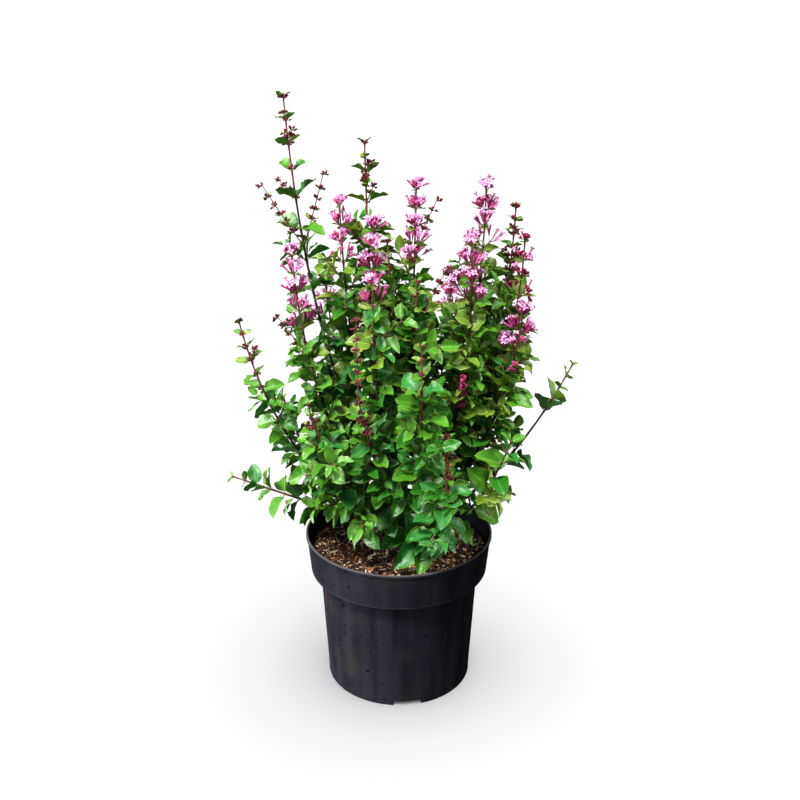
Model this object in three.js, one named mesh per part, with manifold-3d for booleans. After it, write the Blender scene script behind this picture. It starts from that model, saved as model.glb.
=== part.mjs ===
// A young lilac bush in a round plastic nursery pot. Millimetres, +Z up, the origin at the middle of the
// pot's flat underside. Many canes rise from one short woody stool. Each cane is a bare bough that meets
// the stool, and a spray that meets the bough: one solid with its twigs, leaves and blossom fused on.
import * as THREE from "three";
import { OBB } from "three/addons/math/OBB.js";
import { mergeVertices } from "three/addons/utils/BufferGeometryUtils.js";
import Module from "manifold-3d";

const wasm = await Module();
wasm.setup();

// ---- Driving dimensions ----

const CLEARANCE = 0.3;
const POT = {
  height: 162,
  rimRadius: 95,
  lipHeight: 3,
  collarFoot: { radius: 90.3, z: 122.4 },
  neck: { radius: 80.8, z: 116.9 },
  baseRadius: 74.5,
  wall: 2.2,
  floor: 6.5,
  sides: 36,
};
const NOTCH = { count: 3, first: -83, width: 29, height: 4.6, depth: 8 };
const SOIL = { edge: 142, crown: 144, crownRadius: 24 };
const STOOL = {
  base: SOIL.crown + CLEARANCE,
  lean: 0.07,
  sides: 12,
  height: 39.5,
  profile: [[17, 0], [13, 4], [10.8, 11], [10.2, 24], [11, 32], [8, 37.5]],
};
const BOUGH = { footRadius: 2.1, sides: 5, segments: 4, start: 4 };
const SPRAY = { tipRadius: 0.8, sides: 4, step: 52, joinShare: 0.75 };

// Leaves and twigs grow in pairs at nodes, each pair square to the last. Distances are from the cane's tip.
const NODE = { first: 3, gap: 19, tipShare: 0.68, reach: 120 };
const LEAF = {
  tip: 12, full: 37, reach: 70, widthShare: 0.7, widest: 0.45, arch: 0.05,
  tipRise: 52, baseRise: 8, sink: 0.5, outward: 0.7,
};
const TWIG = { share: 0.1, radius: 0.9, tipRadius: 0.7, length: 38, rise: 40, nodeGap: 19, leafShare: 0.8 };
const FORK = { rise: 64, leafShare: 0.42 };
const CYME = { length: 18, width: 14, flare: 0.75, sides: 3, rise: 30, tierGap: 17.5 };

const COLOUR = {
  pot: 0x26272c, soil: 0x3a2618, bark: 0x3a2a24, leaf: 0x4f8a2c, bloom: 0x878263,
};

// Each cane runs from the stool to its tip. spread and rise place the point that bends it: the shares of
// the way out and of the way up at which it turns. foot is how far up the stool it leaves, bare the length
// of its bough, and top the length of its young top, which blooms or is still in bud. twigs, the share of
// its leaves that have a side twig, and gap, the distance between its nodes, are given where they are not
// the usual ones. forks are longer twigs: distance from the tip, angle round the cane, length.
const CANES = [
  {
    name: "leader", tip: [-105, 30, 589], spread: 0.84, rise: 0.36, foot: 33, bare: 150, top: 105,
    twigs: 0.05, gap: 36, forks: [[148, -90, 66], [148, 85, 68]],
  },
  { name: "left_bud", tip: [-150, -15, 390], spread: 0.78, rise: 0.3, foot: 14, bare: 75, top: 75 },
  {
    name: "left_low", tip: [-171, 18, 213], spread: 0.5, rise: 0.45, foot: 18,
    bare: 66, top: 20, twigs: 0,
  },
  {
    name: "left_bloom", tip: [-97, -25, 461], spread: 0.92, rise: 0.4, foot: 20,
    bare: 80, top: 95, blooms: true,
    forks: [[105, -90, 46]],
  },
  {
    name: "rose_left", tip: [-55, 8, 500], spread: 0.85, rise: 0.3, foot: 32,
    bare: 80, top: 74, blooms: true,
  },
  {
    name: "mid_tall", tip: [-32, 40, 547], spread: 0.86, rise: 0.3, foot: 34, bare: 90, top: 45,
    forks: [[110, -90, 50]],
  },
  {
    name: "mid_bloom", tip: [-22, -40, 488], spread: 1.3, rise: 0.4, foot: 30,
    bare: 75, top: 80, blooms: true,
  },
  { name: "inner_bud", tip: [-11, 2, 462], spread: -0.4, rise: 0.45, foot: 37, bare: 80, top: 30 },
  {
    name: "top_bloom", tip: [16, 15, 514], spread: 0.6, rise: 0.25, foot: 36,
    bare: 85, top: 84, blooms: true,
    forks: [[60, 90, 46]],
  },
  {
    name: "heart_bud", tip: [17, -30, 432], spread: 0.5, rise: 0.3, foot: 33, bare: 70, top: 40,
    forks: [[45, 90, 62]],
  },
  { name: "front_bud", tip: [20, -75, 385], spread: 1.2, rise: 0.3, foot: 24, bare: 62, top: 60 },
  {
    name: "right_bloom", tip: [81, 20, 512], spread: 1, rise: 0.35, foot: 30,
    bare: 85, top: 62, blooms: true,
  },
  {
    name: "right_fan", tip: [65, -30, 471], spread: 1.17, rise: 0.35, foot: 24,
    bare: 75, top: 62, blooms: true,
  },
  { name: "right_bud", tip: [112, 45, 486], spread: 0.95, rise: 0.35, foot: 28, bare: 85, top: 80 },
  {
    name: "dark_right", tip: [118, 12, 466], spread: 0.98, rise: 0.4, foot: 22,
    bare: 80, top: 76, blooms: true,
  },
  {
    name: "low_bloom", tip: [115, -25, 405], spread: 0.88, rise: 0.35, foot: 18,
    bare: 75, top: 52, blooms: true,
  },
  {
    name: "right_low", tip: [171, 15, 337], spread: 0.6, rise: 0.22, foot: 12,
    bare: 100, top: 20, twigs: 0,
  },
  {
    name: "front_left", tip: [-83, -70, 328], spread: 0.7, rise: 0.3, foot: 12,
    bare: 55, top: 40, twigs: 0.2,
  },
  {
    name: "front_mid", tip: [-36, -85, 335], spread: 0.5, rise: 0.4, foot: 20,
    bare: 50, top: 30, twigs: 0.2,
  },
  { name: "front_right", tip: [43, -95, 306], spread: 1.15, rise: 0.15, foot: 14, bare: 45, top: 10 },
  {
    name: "side_right", tip: [105, -60, 287], spread: 0.7, rise: 0.2, foot: 6,
    bare: 48, top: 0, twigs: 0.2,
  },
  {
    name: "back_left", tip: [-75, 82, 405], spread: 0.8, rise: 0.3, foot: 26,
    bare: 70, top: 60, blooms: true,
  },
  {
    name: "back_mid", tip: [-7, 98, 400], spread: 0.85, rise: 0.25, foot: 20,
    bare: 62, top: 60, twigs: 0.15,
  },
  {
    name: "back_right", tip: [54, 90, 410], spread: 0.85, rise: 0.3, foot: 26,
    bare: 65, top: 60, blooms: true,
  },
  {
    name: "back_far", tip: [108, 92, 362], spread: 0.75, rise: 0.3, foot: 15,
    bare: 65, top: 30, twigs: 0.15,
  },
  {
    name: "side_left", tip: [-116, 28, 296], spread: 0.75, rise: 0.25, foot: 11,
    bare: 52, top: 10, twigs: 0.2,
  },
  {
    name: "low_left", tip: [-78, 98, 268], spread: 0.8, rise: 0.2, foot: 9,
    bare: 50, top: 0, twigs: 0.2,
  },
  {
    name: "low_right", tip: [62, 106, 272], spread: 0.8, rise: 0.2, foot: 9,
    bare: 50, top: 0, twigs: 0.2,
  },
];

// ---- Small helpers ----

const UP = new THREE.Vector3(0, 0, 1);
const SIDEWAYS = new THREE.Vector3(0, 1, 0);
const radians = THREE.MathUtils.degToRad;
const { lerp, clamp, smoothstep } = THREE.MathUtils;

// A repeatable number from 0 to 1 for a list of whole numbers, so that each leaf keeps its own draw.
function draw(...keys) {
  let hash = 2166136261;
  for (const key of keys) {
    hash = Math.imul(hash ^ (key + 1), 16777619);
    hash = Math.imul(hash ^ (hash >>> 15), 2246822519);
  }
  hash ^= hash >>> 13;
  return (hash >>> 0) / 4294967296;
}

const swing = (range, ...keys) => (2 * draw(...keys) - 1) * range;

function solidOf(geometry) {
  const bare = geometry.clone();
  bare.deleteAttribute("normal");
  bare.deleteAttribute("uv");
  const merged = mergeVertices(bare, 1e-4);
  return new wasm.Manifold(
    new wasm.Mesh({
      numProp: 3,
      vertProperties: merged.attributes.position.array,
      triVerts: new Uint32Array(merged.index.array),
    }),
  );
}

function geometryOf(solid) {
  const mesh = solid.getMesh();
  const geometry = new THREE.BufferGeometry();
  geometry.setAttribute("position", new THREE.BufferAttribute(mesh.vertProperties, 3));
  geometry.setIndex(new THREE.BufferAttribute(mesh.triVerts, 1));
  geometry.computeVertexNormals();
  return geometry;
}

function meshOf(name, solid, colour, roughness) {
  const material = new THREE.MeshStandardMaterial({ color: colour, roughness, metalness: 0 });
  const mesh = new THREE.Mesh(geometryOf(solid), material);
  mesh.name = name;
  return mesh;
}

// Moves every vertex of a geometry by a rule that turns local x, y and z into a point.
function reshape(geometry, place) {
  const at = geometry.attributes.position;
  for (let i = 0; i < at.count; i++) {
    const point = place(at.getX(i), at.getY(i), at.getZ(i));
    at.setXYZ(i, point.x, point.y, point.z);
  }
  return geometry;
}

// The axes of a stem that runs along a direction: side and back are square to it and to each other.
function axesAlong(direction) {
  const along = direction.clone().normalize();
  const side = SIDEWAYS.clone().addScaledVector(along, -SIDEWAYS.dot(along)).normalize();
  return { along, side, back: new THREE.Vector3().crossVectors(side, along) };
}

const offset = (point, axes, x, y, z) =>
  point.clone().addScaledVector(axes.side, x).addScaledVector(axes.along, y).addScaledVector(axes.back, z);

// A closed tapering limb along a curve, from share u0 to share u1 of it, its corners turned by twist.
function limb(curve, u0, u1, r0, r1, sides, segments, twist = 0) {
  const tube = new THREE.CylinderGeometry(r1, r0, 1, sides, segments, false, twist);
  return solidOf(
    reshape(tube, (x, y, z) => {
      const u = lerp(u0, u1, y + 0.5);
      return offset(curve.getPointAt(u), axesAlong(curve.getTangentAt(u)), x, 0, z);
    }),
  );
}

// The boxes round a limb, one for each straight stretch, for the test that keeps solids apart.
function limbBoxes(curve, u0, u1, radius, count) {
  const boxes = [];
  for (let i = 0; i < count; i++) {
    const a = curve.getPointAt(lerp(u0, u1, i / count));
    const b = curve.getPointAt(lerp(u0, u1, (i + 1) / count));
    boxes.push(boxAlong(a, b, radius, radius));
  }
  return boxes;
}

function boxAlong(a, b, halfWidth, halfDepth, axes = axesAlong(b.clone().sub(a))) {
  const half = new THREE.Vector3(halfWidth, a.distanceTo(b) / 2, halfDepth).addScalar(CLEARANCE);
  const turn = new THREE.Matrix3().set(
    axes.side.x, axes.along.x, axes.back.x,
    axes.side.y, axes.along.y, axes.back.y,
    axes.side.z, axes.along.z, axes.back.z,
  );
  return new OBB(a.clone().add(b).multiplyScalar(0.5), half, turn);
}

// ---- Pot and soil ----

function lathe(profile, sides) {
  const points = profile.map(([radius, z]) => new THREE.Vector2(radius, z));
  return solidOf(new THREE.LatheGeometry(points, sides).rotateX(Math.PI / 2));
}

const innerRim = POT.rimRadius - POT.wall;
const potInside = [
  [POT.baseRadius - POT.wall, POT.floor],
  [POT.neck.radius - POT.wall, POT.neck.z],
  [POT.collarFoot.radius - POT.wall, POT.collarFoot.z],
];

// The pot's inner radius at a height.
function insideRadius(z) {
  const profile = [...potInside, [innerRim, POT.height]];
  for (let i = 1; i < profile.length; i++) {
    const [[r0, z0], [r1, z1]] = [profile[i - 1], profile[i]];
    if (z <= z1) return lerp(r0, r1, clamp((z - z0) / (z1 - z0), 0, 1));
  }
  return innerRim;
}

function makePot() {
  const lipFoot = POT.height - POT.lipHeight;
  const body = lathe(
    [
      [0, 0],
      [POT.baseRadius, 0],
      [POT.neck.radius, POT.neck.z],
      [POT.collarFoot.radius, POT.collarFoot.z],
      [POT.rimRadius - 1.2, lipFoot],
      [POT.rimRadius, lipFoot + 0.8],
      [POT.rimRadius, POT.height],
      [innerRim, POT.height],
      ...[...potInside].reverse(),
      [0, POT.floor],
    ],
    POT.sides,
  );
  let pot = body;
  for (let i = 0; i < NOTCH.count; i++) {
    const angle = radians(NOTCH.first + (360 / NOTCH.count) * i);
    const block = new THREE.BoxGeometry(2 * NOTCH.depth, NOTCH.width, 2 * NOTCH.height)
      .translate(POT.baseRadius, 0, 0)
      .rotateZ(angle);
    pot = pot.subtract(solidOf(block));
  }
  return pot;
}

function makeSoil() {
  return lathe(
    [
      [0, POT.floor + CLEARANCE],
      ...potInside.map(([radius, z]) => [radius - CLEARANCE, z + CLEARANCE]),
      [insideRadius(SOIL.edge) - CLEARANCE, SOIL.edge],
      [SOIL.crownRadius, SOIL.crown],
      [0, SOIL.crown],
    ],
    POT.sides,
  );
}

// ---- Stool ----

// The stool, or with grow the same shape that much larger all round, to cut the boughs' feet clear of it.
function makeStool(grow = 0) {
  const rows = STOOL.profile.map(([radius, z]) => [radius + grow, z]);
  const head = [[rows.at(-1)[0] / 2, STOOL.height - 0.2 + grow], [0, STOOL.height + grow]];
  const outline = [[0, -grow], [rows[0][0], -grow], ...rows, ...head];
  const points = outline.map(([radius, z]) => new THREE.Vector2(radius, z));
  const post = new THREE.LatheGeometry(points, STOOL.sides).rotateX(Math.PI / 2);
  return solidOf(
    reshape(post, (x, y, z) => new THREE.Vector3(x + STOOL.lean * z, y, STOOL.base + z)),
  );
}

// ---- Growing a cane ----

function caneCurve(cane) {
  const tip = new THREE.Vector3(...cane.tip);
  const compass = Math.atan2(tip.y, tip.x);
  const foot = new THREE.Vector3(
    BOUGH.start * Math.cos(compass) + STOOL.lean * cane.foot,
    BOUGH.start * Math.sin(compass),
    STOOL.base + cane.foot,
  );
  const bend = new THREE.Vector3(
    lerp(foot.x, tip.x, cane.spread),
    lerp(foot.y, tip.y, cane.spread),
    lerp(foot.z, tip.z, cane.rise),
  );
  return new THREE.QuadraticBezierCurve3(foot, bend, tip);
}

// Distances from the tip at which the cane has a node, down to the end of its spray.
function nodesOf(cane, sprayLength) {
  const nodes = [];
  let fromTip = NODE.first;
  while (fromTip < sprayLength - NODE.first) {
    nodes.push(fromTip);
    const gap = (cane.gap ?? NODE.gap) * lerp(NODE.tipShare, 1, smoothstep(fromTip, 0, NODE.reach));
    fromTip += cane.blooms && fromTip < cane.top ? CYME.tierGap : gap;
  }
  return nodes;
}

// The direction of something that leaves a stem at an angle round it, rises along it and hangs by sink.
function outwards(axes, around, rise, sink) {
  return new THREE.Vector3()
    .addScaledVector(axes.side, Math.cos(around) * Math.cos(rise))
    .addScaledVector(axes.back, Math.sin(around) * Math.cos(rise))
    .addScaledVector(axes.along, Math.sin(rise))
    .addScaledVector(UP, -sink)
    .normalize();
}

// A leaf rooted at the middle of its stem, its upper face turned up and away from the heart of the bush.
function leafAt(root, axes, around, length, rise, sink, keys) {
  const along = outwards(axes, around, rise, sink + swing(0.12, ...keys, 1));
  const face = new THREE.Vector3(root.x, root.y, 0).normalize().multiplyScalar(LEAF.outward).add(UP);
  face.applyAxisAngle(along, swing(0.5, ...keys, 2));
  const side = new THREE.Vector3().crossVectors(along, face).normalize();
  const back = new THREE.Vector3().crossVectors(side, along);
  return { kind: "leaf", root, along, side, back, length };
}

// A cyme: the bunch of florets on one side of a flowering node.
function cymeAt(root, axes, around, keys, down) {
  const along = outwards(axes, around, radians(CYME.rise + swing(8, ...keys, 7)), 0);
  const length = CYME.length * lerp(0.75, 1.15, down) * (1 + swing(0.1, ...keys, 8));
  return { kind: "cyme", root, ...axesAlong(along), length };
}

// A twig with leaves in pairs along it, the last pair at its end.
function twigAt(root, axes, around, rise, length, leafShare, keys) {
  const frame = axesAlong(outwards(axes, around, rise, 0));
  const pairs = Math.max(1, Math.round(length / TWIG.nodeGap));
  const leaves = [];
  for (let i = 1; i <= pairs; i++) {
    const share = i / pairs;
    const at = root.clone().addScaledVector(frame.along, length * share - 1.5);
    const usual = LEAF.full * leafShare * lerp(1.1, 0.75, share);
    for (let pairSide = 0; pairSide < 2; pairSide++) {
      const inner = [...keys, i, pairSide];
      const turn = Math.PI / 4 + (i % 2) * (Math.PI / 2) + pairSide * Math.PI + swing(0.2, ...inner, 12);
      const lift = radians(36 + swing(12, ...inner, 14));
      const size = usual * (1 + swing(0.15, ...inner, 13));
      leaves.push(leafAt(at, frame, turn, size, lift, LEAF.sink / 2, inner));
    }
  }
  return { kind: "twig", root, ...frame, length, leaves };
}

// All that grows on one cane, each as a plain description.
function growthOf(cane, id, curve, length, sprayLength, twist) {
  const place = (fromTip) => {
    const u = 1 - fromTip / length;
    return [curve.getPointAt(u), axesAlong(curve.getTangentAt(u))];
  };
  const grown = (cane.forks ?? []).map(([fromTip, around, forkLength], k) =>
    twigAt(...place(fromTip), radians(around), radians(FORK.rise), forkLength, FORK.leafShare, [id, k, 90]),
  );
  const young = cane.blooms ? cane.top - LEAF.reach / 2 : 0;
  nodesOf(cane, sprayLength).forEach((fromTip, k) => {
    const [heart, axes] = place(fromTip);
    const turn = Math.PI / 4 - twist + (k % 2) * (Math.PI / 2) + swing(0.15, id, k);
    const ripe = smoothstep(fromTip, young, cane.top + LEAF.reach);
    for (let pairSide = 0; pairSide < 2; pairSide++) {
      const keys = [id, k, pairSide];
      const around = turn + pairSide * Math.PI + swing(0.08, ...keys, 3);
      if (cane.blooms && fromTip < cane.top) {
        grown.push(cymeAt(heart, axes, around, keys, fromTip / cane.top));
        continue;
      }
      const leafLength = lerp(LEAF.tip, LEAF.full, ripe) * (1 + swing(0.14, ...keys, 4));
      const rise = radians(lerp(LEAF.tipRise, LEAF.baseRise, ripe) + swing(14, ...keys, 5));
      grown.push(leafAt(heart, axes, around, leafLength, rise, LEAF.sink * ripe, keys));
      if (fromTip > Math.max(cane.top, 60) && draw(...keys, 6) < (cane.twigs ?? TWIG.share)) {
        const lift = radians(TWIG.rise + swing(10, ...keys, 10));
        const reach = TWIG.length * (1 + swing(0.25, ...keys, 11));
        grown.push(twigAt(heart, axes, around + 0.3, lift, reach, TWIG.leafShare, keys));
      }
    }
  });
  return grown;
}

// ---- Solids and boxes of what grows ----

const tipOf = (item) => item.root.clone().addScaledVector(item.along, item.length);

// A closed faceted solid that lies along an item, from its corners as side, along and back distances.
function faceted(item, corners, faces) {
  const geometry = new THREE.BufferGeometry();
  geometry.setAttribute("position", new THREE.Float32BufferAttribute(corners.flat(), 3));
  geometry.setIndex(faces.flat());
  return solidOf(reshape(geometry, (x, y, z) => offset(item.root, item, x, y, z)));
}

// A leaf is a thin arched blade: root and tip on its midrib, its two edges lower.
function leafSolid(leaf) {
  const { length } = leaf;
  const edge = 0.5 * LEAF.widthShare * length;
  const [waist, hang] = [LEAF.widest * length, -LEAF.arch * length];
  const corners = [[0, 0, 0], [0, length, 0], [-edge, waist, hang], [edge, waist, hang]];
  return faceted(leaf, corners, [[0, 1, 2], [1, 0, 3], [0, 2, 3], [2, 1, 3]]);
}

function leafBox(leaf) {
  const { length } = leaf;
  const from = offset(leaf.root, leaf, 0, 0.1 * length, (-LEAF.arch * length) / 2);
  const to = offset(from, leaf, 0, 0.9 * length, 0);
  return boxAlong(from, to, 0.5 * LEAF.widthShare * length, (LEAF.arch * length) / 2, leaf);
}

// A cyme is a bunch that widens from its root towards its outer end and comes to a point.
function cymeSolid(cyme) {
  const corners = [[0, 0, 0], [0, cyme.length, 0]];
  const faces = [];
  for (let i = 0; i < CYME.sides; i++) {
    const angle = (2 * Math.PI * i) / CYME.sides;
    const radius = CYME.width / 2;
    corners.push([radius * Math.sin(angle), CYME.flare * cyme.length, radius * Math.cos(angle)]);
    const [here, next] = [2 + i, 2 + ((i + 1) % CYME.sides)];
    faces.push([0, next, here], [1, here, next]);
  }
  return faceted(cyme, corners, faces);
}

function twigSolid(twig) {
  const rod = new THREE.CylinderGeometry(TWIG.tipRadius, TWIG.radius, twig.length, SPRAY.sides);
  return solidOf(reshape(rod, (x, y, z) => offset(twig.root, twig, x, y + twig.length / 2, z)));
}

const SOLID = { leaf: leafSolid, cyme: cymeSolid, twig: twigSolid };
const BOX = {
  leaf: leafBox,
  cyme: (item) => boxAlong(item.root, tipOf(item), CYME.width / 2, CYME.width / 2, item),
  twig: (item) => boxAlong(item.root, tipOf(item), TWIG.radius, TWIG.radius, item),
};

// ---- Keeping to its own space ----

// True if a box, tried at a grid of points across it, is clear of the pot's wall and of the soil.
function clearOfPot(box) {
  const axes = [new THREE.Vector3(), new THREE.Vector3(), new THREE.Vector3()];
  box.rotation.extractBasis(...axes);
  const steps = [-1, -0.5, 0, 0.5, 1];
  return steps.every((i) =>
    steps.every((j) => {
      const point = box.center
        .clone()
        .addScaledVector(axes[0], i * box.halfSize.x)
        .addScaledVector(axes[1], j * box.halfSize.y);
      const lowest = point.z - box.halfSize.z - CLEARANCE;
      const radius = Math.hypot(point.x, point.y);
      if (lowest > POT.height) return true;
      return radius > POT.rimRadius + 3 || (radius < insideRadius(lowest) - 3 && lowest > SOIL.crown);
    }),
  );
}

// The boxes that are taken, each by its owner. A box is free if it touches no other owner's.
class Space {
  constructor() {
    this.taken = [];
  }
  take(owner, box) {
    this.taken.push({ owner, box, reach: box.halfSize.length() });
  }
  free(owner, box) {
    const reach = box.halfSize.length();
    return this.taken.every(
      (other) =>
        other.owner === owner ||
        other.box.center.distanceTo(box.center) > reach + other.reach ||
        !other.box.intersectsOBB(box),
    );
  }
}

// ---- Building the canes ----

// Every limb takes its space first. Then blossom, twigs and leaves are added in turn, one for each cane at
// a time, and one that would touch another cane, the stool, the soil or the pot is left out.
function makeCanes() {
  const space = new Space();
  const stoolFoot = new THREE.Vector3(0, 0, STOOL.base);
  const stoolTop = new THREE.Vector3(STOOL.lean * STOOL.height, 0, STOOL.base + STOOL.height);
  space.take("stool", boxAlong(stoolFoot, stoolTop, 13, 13));
  let cut = makeStool(2 * CLEARANCE);
  const canes = CANES.map((cane, id) => {
    const curve = caneCurve(cane);
    const length = curve.getLength();
    const joint = cane.bare / length;
    const sprayLength = length - cane.bare;
    const segments = Math.ceil(sprayLength / SPRAY.step);
    const jointRadius = BOUGH.footRadius * SPRAY.joinShare;
    const boughGrown = (grow) =>
      limb(curve, 0, joint, BOUGH.footRadius + grow, jointRadius + grow, BOUGH.sides, BOUGH.segments);
    const bough = boughGrown(0).subtract(cut);
    cut = cut.add(boughGrown(1.25 * CLEARANCE));
    const from = joint + CLEARANCE / length;
    const twist = swing(Math.PI / 4, id);
    const stem = limb(curve, from, 1, jointRadius, SPRAY.tipRadius, SPRAY.sides, segments, twist);
    const boughBoxes = limbBoxes(curve, joint * 0.3, joint, BOUGH.footRadius, BOUGH.segments);
    const stemBoxes = limbBoxes(curve, from, 1, jointRadius, segments);
    [...boughBoxes, ...stemBoxes].forEach((box) => space.take(id, box));
    const growth = growthOf(cane, id, curve, length, sprayLength, twist);
    return { cane, id, bough, stem, growth, parts: [stem] };
  });
  const add = (one, item) => {
    const box = BOX[item.kind](item);
    if (!clearOfPot(box) || !space.free(one.id, box)) return false;
    space.take(one.id, box);
    one.parts.push(SOLID[item.kind](item));
    return true;
  };
  const most = Math.max(...canes.map((one) => one.growth.length));
  for (const kind of ["cyme", "twig", "leaf"])
    for (let i = 0; i < most; i++)
      for (const one of canes) {
        const item = one.growth[i];
        if (item?.kind === kind && add(one, item)) item.leaves?.forEach((leaf) => add(one, leaf));
      }
  return canes;
}

// The main piece of a solid that was cut or joined, without any crumbs.
function largest(solid) {
  return solid.decompose().reduce((a, b) => (b.volume() > a.volume() ? b : a));
}

// ---- Assembly ----

const lilac = new THREE.Group();
lilac.add(meshOf("pot", makePot(), COLOUR.pot, 0.5));
lilac.add(meshOf("soil", makeSoil(), COLOUR.soil, 0.95));
lilac.add(meshOf("stool", makeStool(), COLOUR.bark, 0.85));
for (const { cane, bough, parts } of makeCanes()) {
  lilac.add(meshOf(`bough_${cane.name}`, largest(bough), COLOUR.bark, 0.8));
  const spray = largest(wasm.Manifold.union(parts));
  lilac.add(meshOf(`spray_${cane.name}`, spray, cane.blooms ? COLOUR.bloom : COLOUR.leaf, 0.5));
}

export default lilac;
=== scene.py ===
from math import atan2, cos, degrees, exp, hypot, pi, radians, sin, sqrt

import bpy
import numpy as np
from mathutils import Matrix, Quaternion, Vector, noise


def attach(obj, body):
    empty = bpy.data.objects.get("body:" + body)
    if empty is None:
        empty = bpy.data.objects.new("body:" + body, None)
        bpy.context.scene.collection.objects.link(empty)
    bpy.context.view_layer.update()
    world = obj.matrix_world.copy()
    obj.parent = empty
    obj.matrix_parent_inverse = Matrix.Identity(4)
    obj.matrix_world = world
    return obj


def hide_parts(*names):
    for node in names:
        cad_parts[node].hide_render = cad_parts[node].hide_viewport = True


# A young lilac bush in a round plastic nursery pot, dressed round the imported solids. The canes grow by the
# rule of the part's source, here carried on to short shoots, single leaves, florets and buds. Sizes are in
# millimetres until a mesh is made.

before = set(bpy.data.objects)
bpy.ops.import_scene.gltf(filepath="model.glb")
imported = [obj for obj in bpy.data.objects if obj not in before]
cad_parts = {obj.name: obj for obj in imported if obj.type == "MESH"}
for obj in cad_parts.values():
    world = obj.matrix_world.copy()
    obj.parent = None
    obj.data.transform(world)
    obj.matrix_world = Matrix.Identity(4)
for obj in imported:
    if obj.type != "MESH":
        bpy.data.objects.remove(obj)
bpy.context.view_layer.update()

MM = 0.001

# ---- Driving dimensions, those of the part's source with a rounder top to the stool ----

POT = {
    "height": 162, "rim": 95, "collar_foot": (90.3, 122.4), "neck": (80.8, 116.9),
    "base": 74.5, "wall": 2.2, "floor": 6.5,
}
NOTCH = {"count": 3, "first": -83, "width": 29, "height": 4.6, "depth": 8}
SOIL = {"edge": 142, "crown": 144, "crown_radius": 24}
STOOL = {
    "base": 144.3, "lean": 0.07, "height": 39.5,
    "profile": [(17, 0), (13, 4), (10.8, 11), (10.2, 24), (11, 32), (8, 37.5), (4, 39.3), (0, 39.5)],
}
BOUGH = {"foot": 2.1, "start": 4, "end_share": 0.75}
NODE = {"first": 3, "gap": 19, "tip_share": 0.68, "reach": 120}
LEAF = {"tip": 12, "full": 37, "reach": 70, "tip_rise": 52, "outward": 0.7}
TWIG = {"share": 0.1, "length": 38, "rise": 40, "leaf": 0.8}
FORK_RISE = 64
CYME = {"length": 18, "gap": 17.5}

# ---- What this script adds to the rule ----

STEM_TIP = 0.65     # the radius of a cane's tip, finer than the source's
LIFE = 0.86         # a leaf's length here beside the source's, where a leaf stands for a small shoot
BLADE = {"slim": 0.53, "broad": 0.74, "petiole": 0.13, "rib": 0.42, "rim": 0.91}
LEAF_RISE = 26
BETWEEN = 0.86      # the size of a leaf in a pair between two nodes
SHOOT = {"length": 19, "gap": 7.5, "leaf": 23, "share": 0.95, "lift": 0.12, "leaf_rise": 36}
TWIG_GAP = 11
BUD_LEAF = {"tip": 9, "full": 38, "reach": 125}
FORK_NODE = {"first": 16, "gap": 10, "leaf": 12}
TINY_LEAF = 5.5
KNOT = {"buds": 8, "end": 5.6, "young": (5.2, 6.2), "leafy": 4.8, "twig": 5.2, "fork": (5.4, 4.6)}
FLORET = {"top": 7.5, "full": 10, "upwards": 0.55}
FIRST_CYME = 9      # from a cane's tip
CYME_RISE = (68, 48)        # at the top of a flowering spike and further down
CYME_SIZE = (0.66, 1.25)    # at the top of a flowering spike and at its foot
BRACT = (7, 19)             # the leaf under a cyme, there too
SPRIG = {"rise": 42, "leaf": 13}
SPIKE = {"rise": 60, "gap": 6.5, "florets": 7, "turn": 0.898, "floret": (6.4, 4.2)}
BUD_TURN = 2.4              # from one bud of a knot to the next
SUNLIT = (230, 420)         # the heights between which leaves turn from shaded to sunlit
OVER_SOIL = {"radius": (85, 125), "height": (190, 270)}     # where leaves stop hanging down
BEYOND_POT = (115, 145)     # the distances from the axis over which leaves turn up to the light
SKIRT_LEAF = 38     # leaves on the upper ends of the front boughs, which hang over the soil
YOUNG_STEM = 80     # how much of a cane's tip has young reddish bark
SOIL_DEPTH = 12
CHIPS = 5600


def cane(name, tip, bend, foot, bare, top, **more):
    return {"name": name, "tip": tip, "bend": bend, "foot": foot, "bare": bare, "top": top, **more}


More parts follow.
